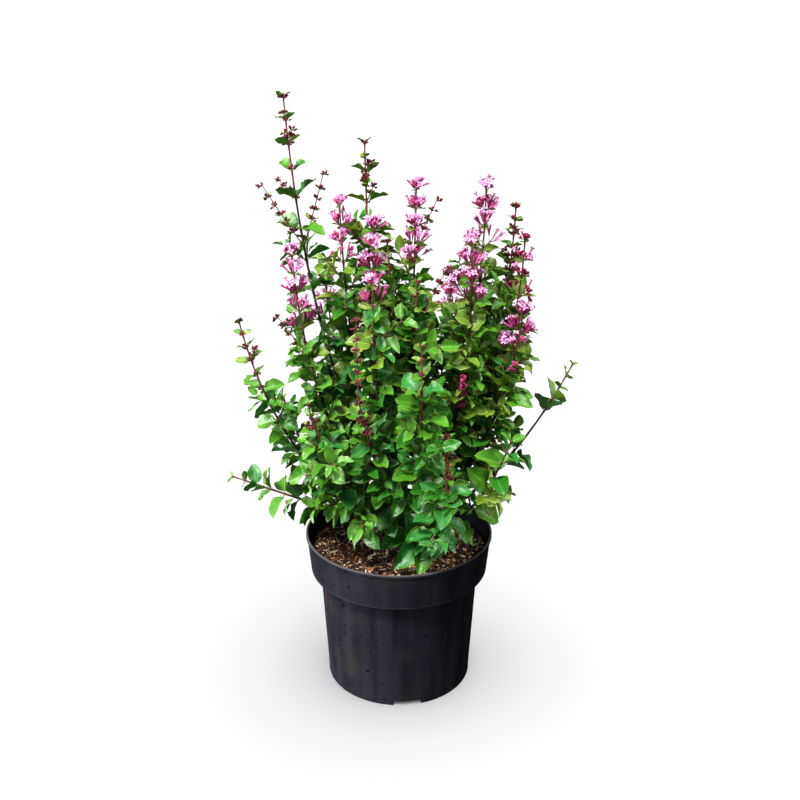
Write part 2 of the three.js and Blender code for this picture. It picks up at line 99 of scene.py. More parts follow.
# Each cane: name, tip, bend (the source's spread and rise), foot and bare as in the source, then top, the
# length of its young top, which differs from the source's for some. Twigs, gap and forks are the source's,
# except for the leader and for front_mid's fork. The rest is this script's: blooms is the share of florets
# that are open, shoots how many side shoots a cane has beside the others, twist the turn of its nodes,
# tone how much darker its leaves are painted, painted shade, and below 0 how much lighter, painted
# light, and leafless a stretch without nodes. knots is the size of its knots of buds, bud_twigs the share of
# its young leaves with a twig of them, and knotted how far from its tip its leafy nodes bear them too. skirt
# gives nodes on its bough by distance from the spray. sprigs are small flowering side twigs and spikes ones
# in bud, like forks by distance from the tip, angle round the stem and length.
CANES = [
    # The leaf darkening set for some canes below is painted shade; set below 0 it is painted light.
    cane("leader", (-105, 30, 589), (0.84, 0.36), 33, 150, 115, twigs=0, gap=30, twist=0, tone=0.3,
         forks=[(140, -90, 68), (140, 85, 70)], shoots=0.5, knots=0.9, bud_twigs=0.5),
    cane("left_bud", (-150, -15, 390), (0.78, 0.3), 14, 75, 75, shoots=0.25, knots=0.8, bud_twigs=0.25),
    cane("left_low", (-171, 18, 213), (0.5, 0.45), 18, 66, 20, twigs=0, shoots=0.15, knots=0),
    cane("left_bloom", (-97, -25, 461), (0.92, 0.4), 20, 80, 95, blooms=0.85, forks=[(105, -90, 46)]),
    cane("rose_left", (-55, 8, 500), (0.85, 0.3), 32, 80, 74, blooms=0.25),
    cane("mid_tall", (-32, 40, 547), (0.86, 0.3), 34, 90, 75, forks=[(110, -90, 50)], knots=0.7,
         bud_twigs=0.35),
    cane("mid_bloom", (-22, -40, 488), (1.3, 0.4), 30, 75, 80, blooms=0.7, knotted=175),
    cane("inner_bud", (-11, 2, 462), (-0.4, 0.45), 37, 80, 30, knots=0.8),
    cane("top_bloom", (16, 15, 514), (0.6, 0.25), 36, 85, 84, blooms=0.6, forks=[(60, 90, 46)]),
    cane("heart_bud", (17, -30, 432), (0.5, 0.3), 33, 70, 26, forks=[(45, 90, 62)], knots=0.65, tone=0.2),
    cane("front_bud", (20, -75, 385), (1.2, 0.3), 24, 62, 30, knots=0.65, tone=0.22, skirt=(6, 18, 28)),
    cane("right_bloom", (81, 20, 512), (1, 0.35), 30, 85, 62, blooms=0.8, tone=-0.15),
    cane("right_fan", (65, -30, 471), (1.17, 0.35), 24, 75, 62, blooms=0.9, tone=-0.15,
         sprigs=[(58, -90, 16)], spikes=[(168, 190, 44)]),
    cane("right_bud", (112, 45, 486), (0.95, 0.35), 28, 85, 80, tone=-0.15),
    cane("dark_right", (118, 12, 466), (0.98, 0.4), 22, 80, 76, blooms=0.08, tone=-0.2,
         spikes=[(84, 90, 22)]),
    cane("low_bloom", (115, -25, 405), (0.88, 0.35), 18, 75, 52, blooms=0.9, tone=-0.2,
         sprigs=[(50, -100, 12)], spikes=[(68, 180, 15)]),
    cane("right_low", (171, 15, 337), (0.6, 0.22), 12, 100, 38, twigs=0, shoots=0, knots=0,
         leafless=(66, 100)),
    cane("front_left", (-83, -70, 328), (0.7, 0.3), 12, 55, 40, twigs=0.2, knots=0.4, skirt=(5, 16)),
    cane("front_mid", (-36, -85, 335), (0.5, 0.4), 20, 50, 50, twigs=0.2, forks=[(1, 20, 74)], knots=0.85,
         knotted=66, tone=0.35, skirt=(4, 14, 24)),
    cane("front_right", (43, -95, 306), (1.15, 0.15), 14, 45, 50, shoots=0.4, knots=0.9, knotted=66,
         tone=0.35, skirt=(3, 12)),
    cane("side_right", (105, -60, 287), (0.7, 0.2), 6, 48, 0, twigs=0.2, shoots=0.1, knots=0,
         skirt=(5, 15)),
    cane("back_left", (-75, 82, 405), (0.8, 0.3), 26, 70, 60, blooms=0.6),
    cane("back_mid", (-7, 98, 400), (0.85, 0.25), 20, 62, 60, twigs=0.15),
    cane("back_right", (54, 90, 410), (0.85, 0.3), 26, 65, 60, blooms=0.7),
    cane("back_far", (108, 92, 362), (0.75, 0.3), 15, 65, 30, twigs=0.15),
    cane("side_left", (-116, 28, 296), (0.75, 0.25), 11, 52, 10, twigs=0.2, shoots=0.4, knots=0),
    cane("low_left", (-78, 98, 268), (0.8, 0.2), 9, 50, 0, twigs=0.2, knots=0),
    cane("low_right", (62, 106, 272), (0.8, 0.2), 9, 50, 0, twigs=0.2, knots=0),
]

# The sprays that are joined into one set of pieces. A set with bloom in its name is of flowering sprays.
GROUPS = {
    "tall": ["leader", "mid_tall", "inner_bud", "heart_bud"],
    "left": ["left_bud", "left_low", "side_left"],
    "right": ["right_bud", "right_low", "side_right"],
    "front": ["front_bud", "front_left", "front_mid", "front_right"],
    "back": ["back_mid", "back_far", "low_left", "low_right"],
    "bloom_left": ["left_bloom", "rose_left", "mid_bloom", "back_left"],
    "bloom_right": ["top_bloom", "right_bloom", "right_fan", "dark_right", "low_bloom", "back_right"],
}

# ---- Small helpers ----

UP = Vector((0, 0, 1))
SIDEWAYS = Vector((0, 1, 0))


def lerp(a, b, share):
    return a + (b - a) * share


def smoothstep(x, low, high):
    share = min(max((x - low) / (high - low), 0.0), 1.0)
    return share * share * (3 - 2 * share)


def draw(*keys):
    """The source's repeatable number from 0 to 1 for a list of whole numbers. The first is the cane's number,
    and the last does no more than tell a draw from the others at the same place."""
    value = 2166136261
    for key in keys:
        value = ((value ^ (key + 1)) * 16777619) & 0xFFFFFFFF
        value = ((value ^ (value >> 15)) * 2246822519) & 0xFFFFFFFF
    value ^= value >> 13
    return value / 4294967296


def swing(reach, *keys):
    """A draw from -reach to reach."""
    return (2 * draw(*keys) - 1) * reach


def varied(reach, *keys):
    """A factor that is drawn round 1."""
    return 1 + swing(reach, *keys)


class Axes:
    """The axes of a stem that runs along a direction: side and back are square to it and to each other."""

    def __init__(self, direction):
        self.along = direction.normalized()
        self.side = (SIDEWAYS - self.along * SIDEWAYS.dot(self.along)).normalized()
        self.back = self.side.cross(self.along)

    def outwards(self, around, rise, sink=0.0):
        """The direction of something that leaves the stem at an angle round it, rises and hangs by sink."""
        flat = self.side * cos(around) + self.back * sin(around)
        return (flat * cos(rise) + self.along * sin(rise) - UP * sink).normalized()


# ---- Materials ----

def linear(colour):
    """A colour given as three sRGB numbers from 0 to 255, as Blender's shaders want it."""
    shares = [part / 255 for part in colour]
    return [s / 12.92 if s <= 0.04045 else ((s + 0.055) / 1.055) ** 2.4 for s in shares] + [1.0]


class Nodes:
    """A node tree that is put together node by node."""

    def __init__(self, tree):
        self.tree = tree

    def put(self, value, socket):
        """Links a node's output to a socket, or sets the socket to a plain value."""
        if isinstance(value, bpy.types.NodeSocket):
            self.tree.links.new(value, socket)
        else:
            socket.default_value = value

    def node(self, kind, inputs, output=0, **settings):
        """An output of a new node."""
        node = self.tree.nodes.new(f"ShaderNode{kind}")
        for name, value in settings.items():
            setattr(node, name, value)
        for key, value in inputs.items():
            self.put(value, node.inputs[key])
        return node.outputs[output]

    def ranged(self, value, low, high, to_low=0, to_high=1):
        """A value between low and high, brought to between to_low and to_high."""
        ends = {"From Min": low, "From Max": high, "To Min": to_low, "To Max": to_high}
        return self.node("MapRange", {"Value": value, **ends})


class Finish(Nodes):
    """A material round one Principled shader."""

    def __init__(self, name, colour, roughness, specular=0.5):
        self.material = bpy.data.materials.new(name)
        self.material.use_nodes = True
        super().__init__(self.material.node_tree)
        self.shader = self.tree.nodes["Principled BSDF"].inputs
        self.colour(linear(colour))
        self.roughness(roughness)
        self.put(specular, self.shader["Specular IOR Level"])
        self.place = self.node("TexCoord", {}, "Object")

    def colour(self, value):
        self.put(value, self.shader["Base Color"])

    def roughness(self, value):
        self.put(value, self.shader["Roughness"])

    def noise(self, scale, detail=3.0, stretch=(1, 1, 1)):
        """Soft noise from 0 to 1, scale cells a metre."""
        place = self.node("Mapping", {"Vector": self.place, "Scale": stretch})
        return self.node("TexNoise", {"Vector": place, "Scale": scale, "Detail": detail})

    def band(self, height, start, full, fall, end, most):
        """A share that rises from start to full and falls again, in millimetres of height."""
        rise = self.ranged(height, start * MM, full * MM, 0, most)
        drop = self.ranged(height, fall * MM, end * MM, 1, 0)
        return self.node("Math", {0: rise, 1: drop}, operation="MULTIPLY")

    def mixed(self, share, first, second):
        """Two colours mixed by the second's share. A tuple is taken as sRGB numbers."""
        first, second = (linear(part) if isinstance(part, tuple) else part for part in (first, second))
        return self.node("Mix", {0: share, 6: first, 7: second}, 2, data_type="RGBA")

    def bump(self, height, distance):
        """Raises the surface by height, 0 to 1, times a distance in millimetres."""
        inputs = {"Height": height, "Distance": distance * MM, "Strength": 1.0}
        self.put(self.node("Bump", inputs), self.shader["Normal"])


def living(kind, colours, roughness, grain, relief, specular):
    """A material for each colour of leaf, petal or young bark, with a grain that breaks up its gloss."""
    made = []
    for name, colour in colours.items():
        finish = Finish(f"{kind}_{name}", colour, roughness, specular)
        spots = finish.noise(grain)
        finish.roughness(finish.ranged(spots, 0.3, 0.7, roughness - 0.07, roughness + 0.1))
        finish.bump(spots, relief)
        made.append(finish.material)
    return made


LEAF_COLOURS = {
    "deep": (36, 110, 20), "green": (73, 138, 30), "bright": (106, 141, 40),
    "young": (120, 142, 50), "lime": (156, 174, 88), "cool": (40, 119, 43),
}
RIB_COLOURS = {
    "deep": (98, 150, 58), "green": (124, 174, 66), "bright": (152, 194, 78),
    "young": (176, 204, 96), "lime": (192, 214, 118), "cool": (92, 148, 80),
}
BLOOM_COLOURS = {
    "tube": (184, 64, 122), "lobe": (211, 147, 198), "pale": (219, 183, 219),
    "rose": (208, 100, 158), "bud": (134, 30, 68), "dark_bud": (84, 28, 34),
}
STEM_COLOURS = {"cane": (52, 39, 33), "young": (108, 62, 54), "green": (118, 138, 56)}
LEAF_SHADES, BLOOM_SHADES, STEM_SHADES = list(LEAF_COLOURS), list(BLOOM_COLOURS), list(STEM_COLOURS)

leaf_materials = living("leaf", LEAF_COLOURS, 0.36, 380, 0.6, 0.5)
leaf_materials += living("rib", RIB_COLOURS, 0.5, 900, 0.04, 0.3)
bloom_materials = living("bloom", BLOOM_COLOURS, 0.55, 1500, 0.03, 0.2)
stem_materials = living("stem", STEM_COLOURS, 0.6, 1200, 0.12, 0.3)


def bark_material():
    finish = Finish("old_bark", (58, 42, 34), 0.8)
    grain = finish.noise(420, 6, (1, 1, 0.3))
    finish.colour(finish.mixed(finish.ranged(grain, 0.35, 0.65), (34, 24, 20), (92, 72, 58)))
    finish.bump(grain, 0.5)
    return finish.material


def pot_material():
    """Matt black plastic, with coats over it: faint streaks from top to bottom, dust, pale specks, dark
    drops, painted shade under the collar, and painted highlights along the collar's edge and the lip."""
    black = (29, 29, 35)
    finish = Finish("pot_plastic", black, 0.55, 0.0)
    streaks = finish.noise(70, 5, (1, 1, 0.07))
    dust = finish.noise(26, 8)
    specks, drops = finish.noise(700, 1), finish.noise(210, 1)
    height = finish.node("SeparateXYZ", {0: finish.place}, "Z")
    neck, foot, top = POT["neck"][1], POT["collar_foot"][1], POT["height"]
    coats = [
        (finish.ranged(streaks, 0.3, 0.75), (47, 48, 58)),
        (finish.ranged(dust, 0.55, 0.78, 0, 0.45), (62, 54, 48)),
        (finish.ranged(specks, 0.75, 0.79, 0, 0.6), (128, 124, 120)),
        (finish.ranged(drops, 0.715, 0.73, 0, 0.9), (8, 8, 10)),
        # The last three coats are painted light: painted shade under the collar, then painted highlights
        # along the collar's edge and the lip.
        (finish.band(height, neck - 1.5, neck, foot - 0.8, foot - 0.2, 0.85), (6, 6, 7)),
        (finish.band(height, foot - 0.2, foot + 0.2, foot + 1, foot + 2.2, 0.22), (84, 86, 98)),
        (finish.band(height, top - 1.2, top - 0.6, top + 1, top + 2, 0.4), (118, 112, 110)),
    ]
    surface = black
    for share, colour in coats:
        surface = finish.mixed(share, surface, colour)
    finish.colour(surface)
    finish.roughness(finish.ranged(dust, 0.3, 0.7, 0.45, 0.62))
    finish.bump(finish.noise(1400, 4), 0.12)
    return finish.material


def soil_material():
    finish = Finish("soil_earth", (46, 30, 18), 0.95, 0.2)
    crumbs = finish.noise(420, 8)
    finish.colour(finish.mixed(finish.ranged(crumbs, 0.4, 0.66), (20, 11, 6), (88, 56, 32)))
    finish.bump(crumbs, 1.2)
    return finish.material


# The colours of the chips on the soil, from peat to straw, and each one's share.
CHIP_COLOURS = [(34, 20, 11), (80, 47, 25), (156, 98, 50), (216, 180, 130), (246, 230, 202)]
CHIP_SHARES = [0.52, 0.2, 0.11, 0.1, 0.07]


def chip_material(colour):
    finish = Finish("soil_chip", colour, 0.85)
    grain = finish.noise(1500, 3, (1, 0.2, 1))
    finish.bump(grain, 0.2)
    finish.roughness(finish.ranged(grain, 0.3, 0.7, 0.7, 0.95))
    return finish.material


# ---- Meshes ----

def make_piece(name, points, faces, materials, shades=None, smooth=True):
    """A mesh object from points in millimetres and triangles, with a material index for each triangle."""
    mesh = bpy.data.meshes.new(name)
    points, faces = np.asarray(points, np.float32), np.asarray(faces, np.int32)
    mesh.vertices.add(len(points))
    mesh.vertices.foreach_set("co", (points * MM).ravel())
    mesh.loops.add(faces.size)
    mesh.loops.foreach_set("vertex_index", faces.ravel())
    mesh.polygons.add(len(faces))
    mesh.polygons.foreach_set("loop_start", np.arange(0, faces.size, 3, dtype=np.int32))
    for material in materials:
        mesh.materials.append(material)
    if shades is not None:
        mesh.polygons.foreach_set("material_index", np.asarray(shades, np.int32))
    mesh.polygons.foreach_set("use_smooth", np.full(len(faces), smooth))
    mesh.update()
    mesh.validate()
    piece = bpy.data.objects.new(name, mesh)
    bpy.context.scene.collection.objects.link(piece)
    return piece


class Batch:
    """Meshes that are joined as they come: points, triangles and a shade for each triangle."""

    def __init__(self):
        self.points, self.faces, self.shades, self.count = [], [], [], 0

    def add(self, points, faces, shades):
        self.points.append(points)
        self.faces.append(faces + self.count)
        self.shades.append(np.broadcast_to(shades, len(faces)))
        self.count += len(points)

    def piece(self, name, materials, smooth=True):
        points, faces, shades = (np.concatenate(part) for part in (self.points, self.faces, self.shades))
        return make_piece(name, points, faces, materials, shades, smooth)


def quads(a, b, c, d):
    """Two triangles for each four corners, given as arrays of point numbers."""
    return np.concatenate([np.stack(corners, -1).reshape(-1, 3) for corners in ((a, b, c), (a, c, d))])


def tube_faces(rings, sides):
    """Triangles of a closed tube: rings of points, then a point that closes each end."""
    ring, side = np.meshgrid(np.arange(rings - 1), np.arange(sides), indexing="ij")
    a, b = ring * sides + side, ring * sides + (side + 1) % sides
    near, first, end = np.arange(sides), rings * sides, (rings - 1) * sides
    after = (near + 1) % sides
    near_cap = np.stack([after, near, np.full(sides, first)], -1)
    far_cap = np.stack([near + end, after + end, np.full(sides, first + 1)], -1)
    return np.concatenate([quads(a, b, b + sides, a + sides), near_cap, far_cap])


def tube(centres, axes, radii, sides):
    """A closed tube round a line of centres. radii is a number for each ring, or for each ring and side."""
    angles = np.arange(sides) * 2 * pi / sides
    radii = np.asarray(radii, float)
    radii = radii if radii.ndim == 2 else np.repeat(radii[:, None], sides, 1)
    side = np.array([a.side for a in axes])[:, None, :]
    back = np.array([a.back for a in axes])[:, None, :]
    spokes = side * np.sin(angles)[None, :, None] + back * np.cos(angles)[None, :, None]
    centres = np.array(centres)
    points = centres[:, None, :] + spokes * radii[:, :, None]
    ends = np.array([centres[0], centres[-1]])
    return np.concatenate([points.reshape(-1, 3), ends]), tube_faces(len(centres), sides)


# ---- The pot and its soil ----

def outline_at(profile, z):
    heights = [point[1] for point in profile]
    return np.interp(z, heights, [point[0] for point in profile])


POT_OUTSIDE = [(POT["base"], 0), POT["neck"], POT["collar_foot"], (POT["rim"], POT["height"])]
POT_INSIDE = [(radius - POT["wall"], z) for radius, z in POT_OUTSIDE]


def rounded(profile, steps=4):
    """A profile with its inner corners replaced by arcs. A corner's third number is its radius at most."""
    points = [profile[0]]
    for before, (*corner, most), after in zip(profile, profile[1:-1], profile[2:]):
        here = np.array(corner, float)
        ways = [np.array(other[:2]) - here for other in (before, after)]
        lengths = [np.linalg.norm(way) for way in ways]
        reach = min(most, lengths[0] * 0.45, lengths[1] * 0.45)
        start, end = (here + way / length * reach for way, length in zip(ways, lengths))
        for share in np.linspace(0, 1, steps):
            points.append(tuple(lerp(lerp(start, here, share), lerp(here, end, share), share)))
    return [*points, profile[-1]]


def make_pot():
    """The pot's wall turned round its axis, with its foot notched. A notch's edges are two columns a hair
    apart."""
    base, height, rim, wall, bottom = (POT[key] for key in ("base", "height", "rim", "wall", "floor"))
    middle = 0.01
    walls = rounded([
        (base + 0.2, 8), (*POT["neck"], 0.7), (*POT["collar_foot"], 0.8),
        (rim - 1.2, height - 4, 0.4), (rim, height - 3.2, 0.5), (rim, height, 0.9),
        (rim - wall, height, 0.7), (rim - wall - 0.4, height - 4, 1), (*POT_INSIDE[2], 1.2),
        (*POT_INSIDE[1], 1.5), (POT_INSIDE[0][0], bottom, 1), (middle, bottom),
    ])
    half, hair = degrees(NOTCH["width"] / 2 / base), 0.01
    notches = [NOTCH["first"] + 360 / NOTCH["count"] * i for i in range(NOTCH["count"])]
    edges = [notch + s * (half + gap) for notch in notches for s in (-1, 1) for gap in (0, hair)]
    angles = sorted([step * 2.0 for step in range(180)] + [edge % 360 for edge in edges])
    rows = []
    for angle in angles:
        cut = min(abs((angle - notch + 180) % 360 - 180) for notch in notches) < half + hair / 2
        lift = NOTCH["height"] if cut else 0
        foot_in = base - NOTCH["depth"]
        foot = [(middle, 0), (foot_in, 0), (foot_in, lift), (base, lift)]
        turn = radians(angle)
        rows.append([(r * cos(turn), r * sin(turn), z) for r, z in foot + walls])
    points = np.array(rows)
    count, ring = points.shape[:2]
    column, step = np.meshgrid(np.arange(count), np.arange(ring - 1), indexing="ij")
    a, b = column * ring + step, (column + 1) % count * ring + step
    faces = quads(a, b, b + 1, a + 1)
    flat = points.reshape(-1, 3)
    corners = flat[faces]
    area = np.linalg.norm(np.cross(corners[:, 1] - corners[:, 0], corners[:, 2] - corners[:, 0]), axis=1)
    piece = make_piece("pot_shell", flat, faces[area > 1e-6], [pot_material()])
    piece.data.set_sharp_from_angle(angle=radians(40))
    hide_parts("pot")
    return piece, "pot"


def soil_height(x, y):
    """The soil's surface: the source's low mound, with crumbs."""
    radius = hypot(x, y)
    fall = max(0.0, (radius - SOIL["crown_radius"]) / (POT["rim"] - SOIL["crown_radius"]))
    lumps = noise.noise(Vector((x * 0.09, y * 0.09, 0))) * 1.6
    crumbs = noise.noise(Vector((x * 0.4, y * 0.4, 5))) * 0.8
    return lerp(SOIL["crown"], SOIL["edge"], fall) + (lumps + crumbs)


def make_soil():
    rings, sides = 46, 140
    edge = float(outline_at(POT_INSIDE, SOIL["edge"])) - 0.1
    points = [(0, 0, soil_height(0, 0))]
    for ring in range(1, rings + 1):
        for side in range(sides):
            angle, radius = side * 2 * pi / sides, edge * ring / rings
            x, y = radius * cos(angle), radius * sin(angle)
            points.append((x, y, soil_height(x, y)))
    under = SOIL["edge"] - SOIL_DEPTH
    points += [(x, y, under) for x, y, _ in points[-sides:]] + [(0, 0, under)]
    around = np.arange(sides)
    after = (around + 1) % sides
    faces = [np.stack([np.zeros(sides, int), around + 1, after + 1], -1)]
    for ring in range(rings):
        a, b = 1 + ring * sides + around, 1 + ring * sides + after
        faces.append(quads(a, a + sides, b + sides, b))
    last = 1 + rings * sides
    faces.append(np.stack([np.full(sides, last + sides), last + after, last + around], -1))
    bed = make_piece("soil_bed", points, np.concatenate(faces), [soil_material()])
    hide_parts("soil")
    return bed, "soil"


CHIP = np.array([
    (-1, -1, -1), (1, -0.8, -1), (0.9, 1, -1), (-1, 0.9, -1),
    (-0.7, -0.8, 1), (0.8, -0.6, 1), (0.6, 0.8, 1), (-0.8, 0.6, 1),
])
CHIP_FACES = np.array([
    (0, 2, 1), (0, 3, 2), (4, 5, 6), (4, 6, 7), (0, 1, 5), (0, 5, 4),
    (1, 2, 6), (1, 6, 5), (2, 3, 7), (2, 7, 6), (3, 0, 4), (3, 4, 7),
])


def make_chips():
    """Bits of bark, straw and peat that lie loose on the soil."""
    rng = np.random.default_rng(7)
    edge = float(outline_at(POT_INSIDE, SOIL["edge"])) - 3
    batch = Batch()
    for _ in range(CHIPS):
        radius, angle = edge * sqrt(rng.random()), rng.random() * 2 * pi
        x, y = radius * cos(angle), radius * sin(angle)
        shade = int(rng.choice(5, p=CHIP_SHARES))
        straw = shade > 1 and rng.random() < 0.75
        long = (0.8 + 2.2 * rng.random() ** 2) * (1.7 if straw else 1)
        wide = long * (0.13 if straw else 0.3 + 0.4 * rng.random())
        size = np.array([wide, long, 0.25 + 0.5 * rng.random() * wide])
        turn = Quaternion(UP, rng.random() * 2 * pi)
        tilt = Quaternion((1, 0, 0), rng.normal() * 0.35) @ Quaternion((0, 1, 0), rng.normal() * 0.35)
        frame_of = np.array((turn @ tilt).to_matrix())
        root = np.array([x, y, soil_height(x, y) + 0.4 * rng.random() + 0.3])
        batch.add((CHIP * size) @ frame_of.T + root, CHIP_FACES, shade)
    piece = batch.piece("soil_chips", [chip_material(colour) for colour in CHIP_COLOURS], smooth=False)
    return piece, "soil"


# ---- A cane's line ----

class Curve:
    """A cane's line, a quadratic curve that is measured along its length as in the source."""

    def __init__(self, cane):
        tip = np.array(cane["tip"], float)
        compass = atan2(tip[1], tip[0])
        spread, rise = cane["bend"]
        foot = np.array([
            BOUGH["start"] * cos(compass) + STOOL["lean"] * cane["foot"],
            BOUGH["start"] * sin(compass),
            STOOL["base"] + cane["foot"],
        ])
        bend = lerp(foot, tip, np.array([spread, spread, rise]))
        self.control = foot, bend, tip
        self.shares = np.linspace(0, 1, 201)
        line = self.point(self.shares[:, None])
        self.marks = np.concatenate([[0], np.cumsum(np.linalg.norm(np.diff(line, axis=0), axis=1))])
        self.length = float(self.marks[-1])

    def point(self, t):
        a, b, c = self.control
        return a * (1 - t) ** 2 + b * 2 * t * (1 - t) + c * t * t

    def at(self, u):
        """The point and the axes at a share of the length."""
        t = float(np.interp(u * self.length, self.marks, self.shares))
        a, b, c = self.control
        return Vector(self.point(t)), Axes(Vector((b - a) * (1 - t) + (c - b) * t))

    def line(self, u0, u1, gap):
        """Points and axes a gap apart between two shares of the length."""
        count = max(2, int((u1 - u0) * self.length / gap) + 1)
        rows = [self.at(u) for u in np.linspace(u0, u1, count)]
        return [point for point, _ in rows], [axes for _, axes in rows]


def bark_radii(centres, usual, sides, relief, knots=()):
    """Ring radii with ridges, pits and a swelling at each knot, given as (ring, size)."""
    radii = np.empty((len(centres), sides))
    for ring, (centre, radius) in enumerate(zip(centres, usual)):
        swell = sum(size * exp(-(((ring - at) / 1.3) ** 2)) for at, size in knots)
        for side in range(sides):
            angle = side * 2 * pi / sides
            spot = Vector((cos(angle) * 1.3, sin(angle) * 1.3, centre.z * 0.22)) + centre * 0.02
            ridge = noise.noise(spot) + 0.6 * noise.noise(spot * 3.1)
            radii[ring, side] = radius * (1 + relief * ridge) + swell
    return radii


# ---- Florets and buds ----

ACROSS = 10     # millimetres across a floret for one unit of its template


def turned(profile):
    """A floret or bud that points along its own axis from 0 to 1, from rings (share of length, radius)."""
    sides = 5
    rings = [(share, radius) for share, radius in profile if radius > 0]
    angles = np.arange(sides) * 2 * pi / sides
    points = [(radius * sin(a), share, radius * cos(a)) for share, radius in rings for a in angles]
    points += [(0, profile[0][0], 0), (0, profile[-1][0], 0)]
    faces = tube_faces(len(rings), sides)
    return np.array(points), faces, np.zeros(len(faces), int)


# A petal lobe's points: how far out, how far to the side and how high.
LOBE = [(0.05, -0.07, 0), (0.05, 0.07, 0), (0.2, -0.11, 0.04), (0.2, 0, 0), (0.2, 0.11, 0.04),
        (0.38, 0, -0.03)]
LOBE_FACES = np.array([(0, 3, 2), (0, 1, 3), (1, 4, 3), (2, 3, 5), (3, 4, 5)])


def open_floret(spread, droop):
    """An open floret: a slender tube, part 0, and four pointed lobes round its mouth, part 1."""
    points, faces, parts = ([part] for part in turned([(0, 0.055), (0.4, 0.08), (0.85, 0.1), (1, 0.12)]))
    count = len(points[0])
    rise = np.array([0, 1, 0])
    for lobe in range(4):
        angle = lobe * pi / 2
        out = np.array([sin(angle), 0, cos(angle)])
        across = np.array([cos(angle), 0, -sin(angle)])
        row = []
        for far, wide, high in LOBE:
            up = 1 + high + far * cos(spread) - droop * far * far
            row.append(rise * up + out * (0.04 + far * sin(spread)) + across * wide)
        points.append(np.array(row))
        faces.append(LOBE_FACES + count)
        parts.append(np.ones(len(LOBE_FACES), int))
        count += len(row)
    return np.concatenate(points), np.concatenate(faces), np.concatenate(parts)


OPEN = [open_floret(1.05, 0.4), open_floret(0.7, 0.2), open_floret(1.35, 0.6)]
CLOSED = turned([(0, 0.05), (0.4, 0.07), (0.68, 0.12), (0.85, 0.155), (0.96, 0.1), (1, 0)])
ROUND_BUD = turned([(0, 0.1), (0.3, 0.24), (0.6, 0.27), (0.85, 0.16), (1, 0)])


# ---- What grows on a stem ----

class Growth:
    """All the leaves, stems and florets of one group of sprays."""

    def __init__(self):
        self.leaves, self.stems, self.florets = [], Batch(), []

    def stem(self, root, along, length, radii, shade, lift=0.0, sides=4, rings=2):
        """A thin stem that bends up by lift, a share of its length. Returns its end and the axes there."""
        shares = [ring / (rings - 1) for ring in range(rings)]
        centres = [root + along * (length * s) + UP * (lift * length * s * s) for s in shares]
        steps = [b - a for a, b in zip(centres, centres[1:])]
        axes = [Axes(step) for step in [*steps, steps[-1]]]
        points, faces = tube(centres, axes, np.linspace(*radii, rings), sides)
        self.stems.add(points, faces, STEM_SHADES.index(shade))
        return centres[-1], axes[-1]

    def leaf(self, root, axes, around, length, rise, sink, shade, keys):
        """A leaf with its stalk, its upper face turned up and away from the heart of the bush."""
        along = axes.outwards(around, rise, sink + swing(0.12, *keys, 1))
        face = Vector((root.x, root.y, 0)).normalized() * LEAF["outward"] + UP
        face = Quaternion(along, swing(0.65, *keys, 2)) @ face
        side = along.cross(face).normalized()
        stalk = BLADE["petiole"] * length
        shade = LEAF_SHADES.index(shade)
        self.leaves.append((root, along, side.cross(along), length - stalk, stalk, shade, keys))

    def floret(self, root, along, length, kind, colours, keys):
        """kind is open, closed or bud. colours are the shades of its tube and of its lobes."""
        axes = Axes(along)
        spin = Quaternion(axes.along, draw(*keys, 31) * 2 * pi)
        frame_of = spin @ axes.side, axes.along, spin @ axes.back
        self.florets.append((root, frame_of, length, kind, colours, keys))


def leaf_shade(root, ripe, *keys):
    """The colour a shoot's leaves take: yellow green near the tips, deep or bluish low down. Leaves low down
    are also darker as painted shade and those high up brighter as painted light. A cane's painted shade
    makes its leaves darker and, below 0, brighter as painted light."""
    # A cane's setting darkens its leaves here as painted shade, and below 0 brightens them as painted light.
    dice = draw(*keys, 40) + CANES[keys[0]].get("tone", 0)
    other = draw(*keys, 41)
    height = smoothstep(root.z, *SUNLIT)
    if ripe < 0.4:
        return "young" if dice < 0.16 * height else "bright" if dice < 0.55 else "green"
    if dice < lerp(0.07, 0.42, height):
        return "young" if other < 0.15 * height else "bright"
    if dice < lerp(0.55, 0.85, height):
        return "green"
    return "cool" if other < lerp(0.6, 0.25, height) else "deep"


def leaf_sink(root):
    """How far leaves hang: most over the soil, while those beyond the pot turn up to the light."""
    radius = hypot(root.x, root.y)
    within, low = smoothstep(radius, *OVER_SOIL["radius"]), smoothstep(root.z, *OVER_SOIL["height"])
    hanging = 0.1 + 0.4 * ((1 - within) * (1 - low))
    return lerp(hanging, -0.35, smoothstep(radius, *BEYOND_POT))


def pairs_along(root, along, length, count, lift=0.0):
    """The hearts of the pairs of leaves along a twig: each pair's number, its share of the way, its place."""
    for i in range(1, count + 1):
        share = i / count
        yield i, share, root + along * (length * share - 1) + UP * (lift * length * share * share)


def pair_at(i, keys):
    """The keys and the angle of each side of a twig's node i, which is square to the nodes beside it."""
    for side in range(2):
        yield (*keys, i, side), pi / 4 + (i % 2) * (pi / 2) + side * pi


def add_shoot(growth, root, axes, around, rise, length, leaf_size, shade, keys):
    """A short side shoot with leaves in pairs, growing smaller towards its end."""
    along, lift = axes.outwards(around, rise), SHOOT["lift"]
    _, last = growth.stem(root, along, length, (0.75, 0.5), "young" if length > 14 else "green", lift, 4, 3)
    for i, share, heart in pairs_along(root, along, length, max(1, round(length / SHOOT["gap"])), lift):
        usual = leaf_size * lerp(1.05, 0.66, share)
        for inner, turn in pair_at(i, keys):
            size = usual * varied(0.2, *inner, 13)
            rise = radians(SHOOT["leaf_rise"] + swing(18, *inner, 14))
            around = turn + swing(0.3, *inner, 12)
            growth.leaf(heart, last, around, size, rise, leaf_sink(heart) / 2, shade, inner)


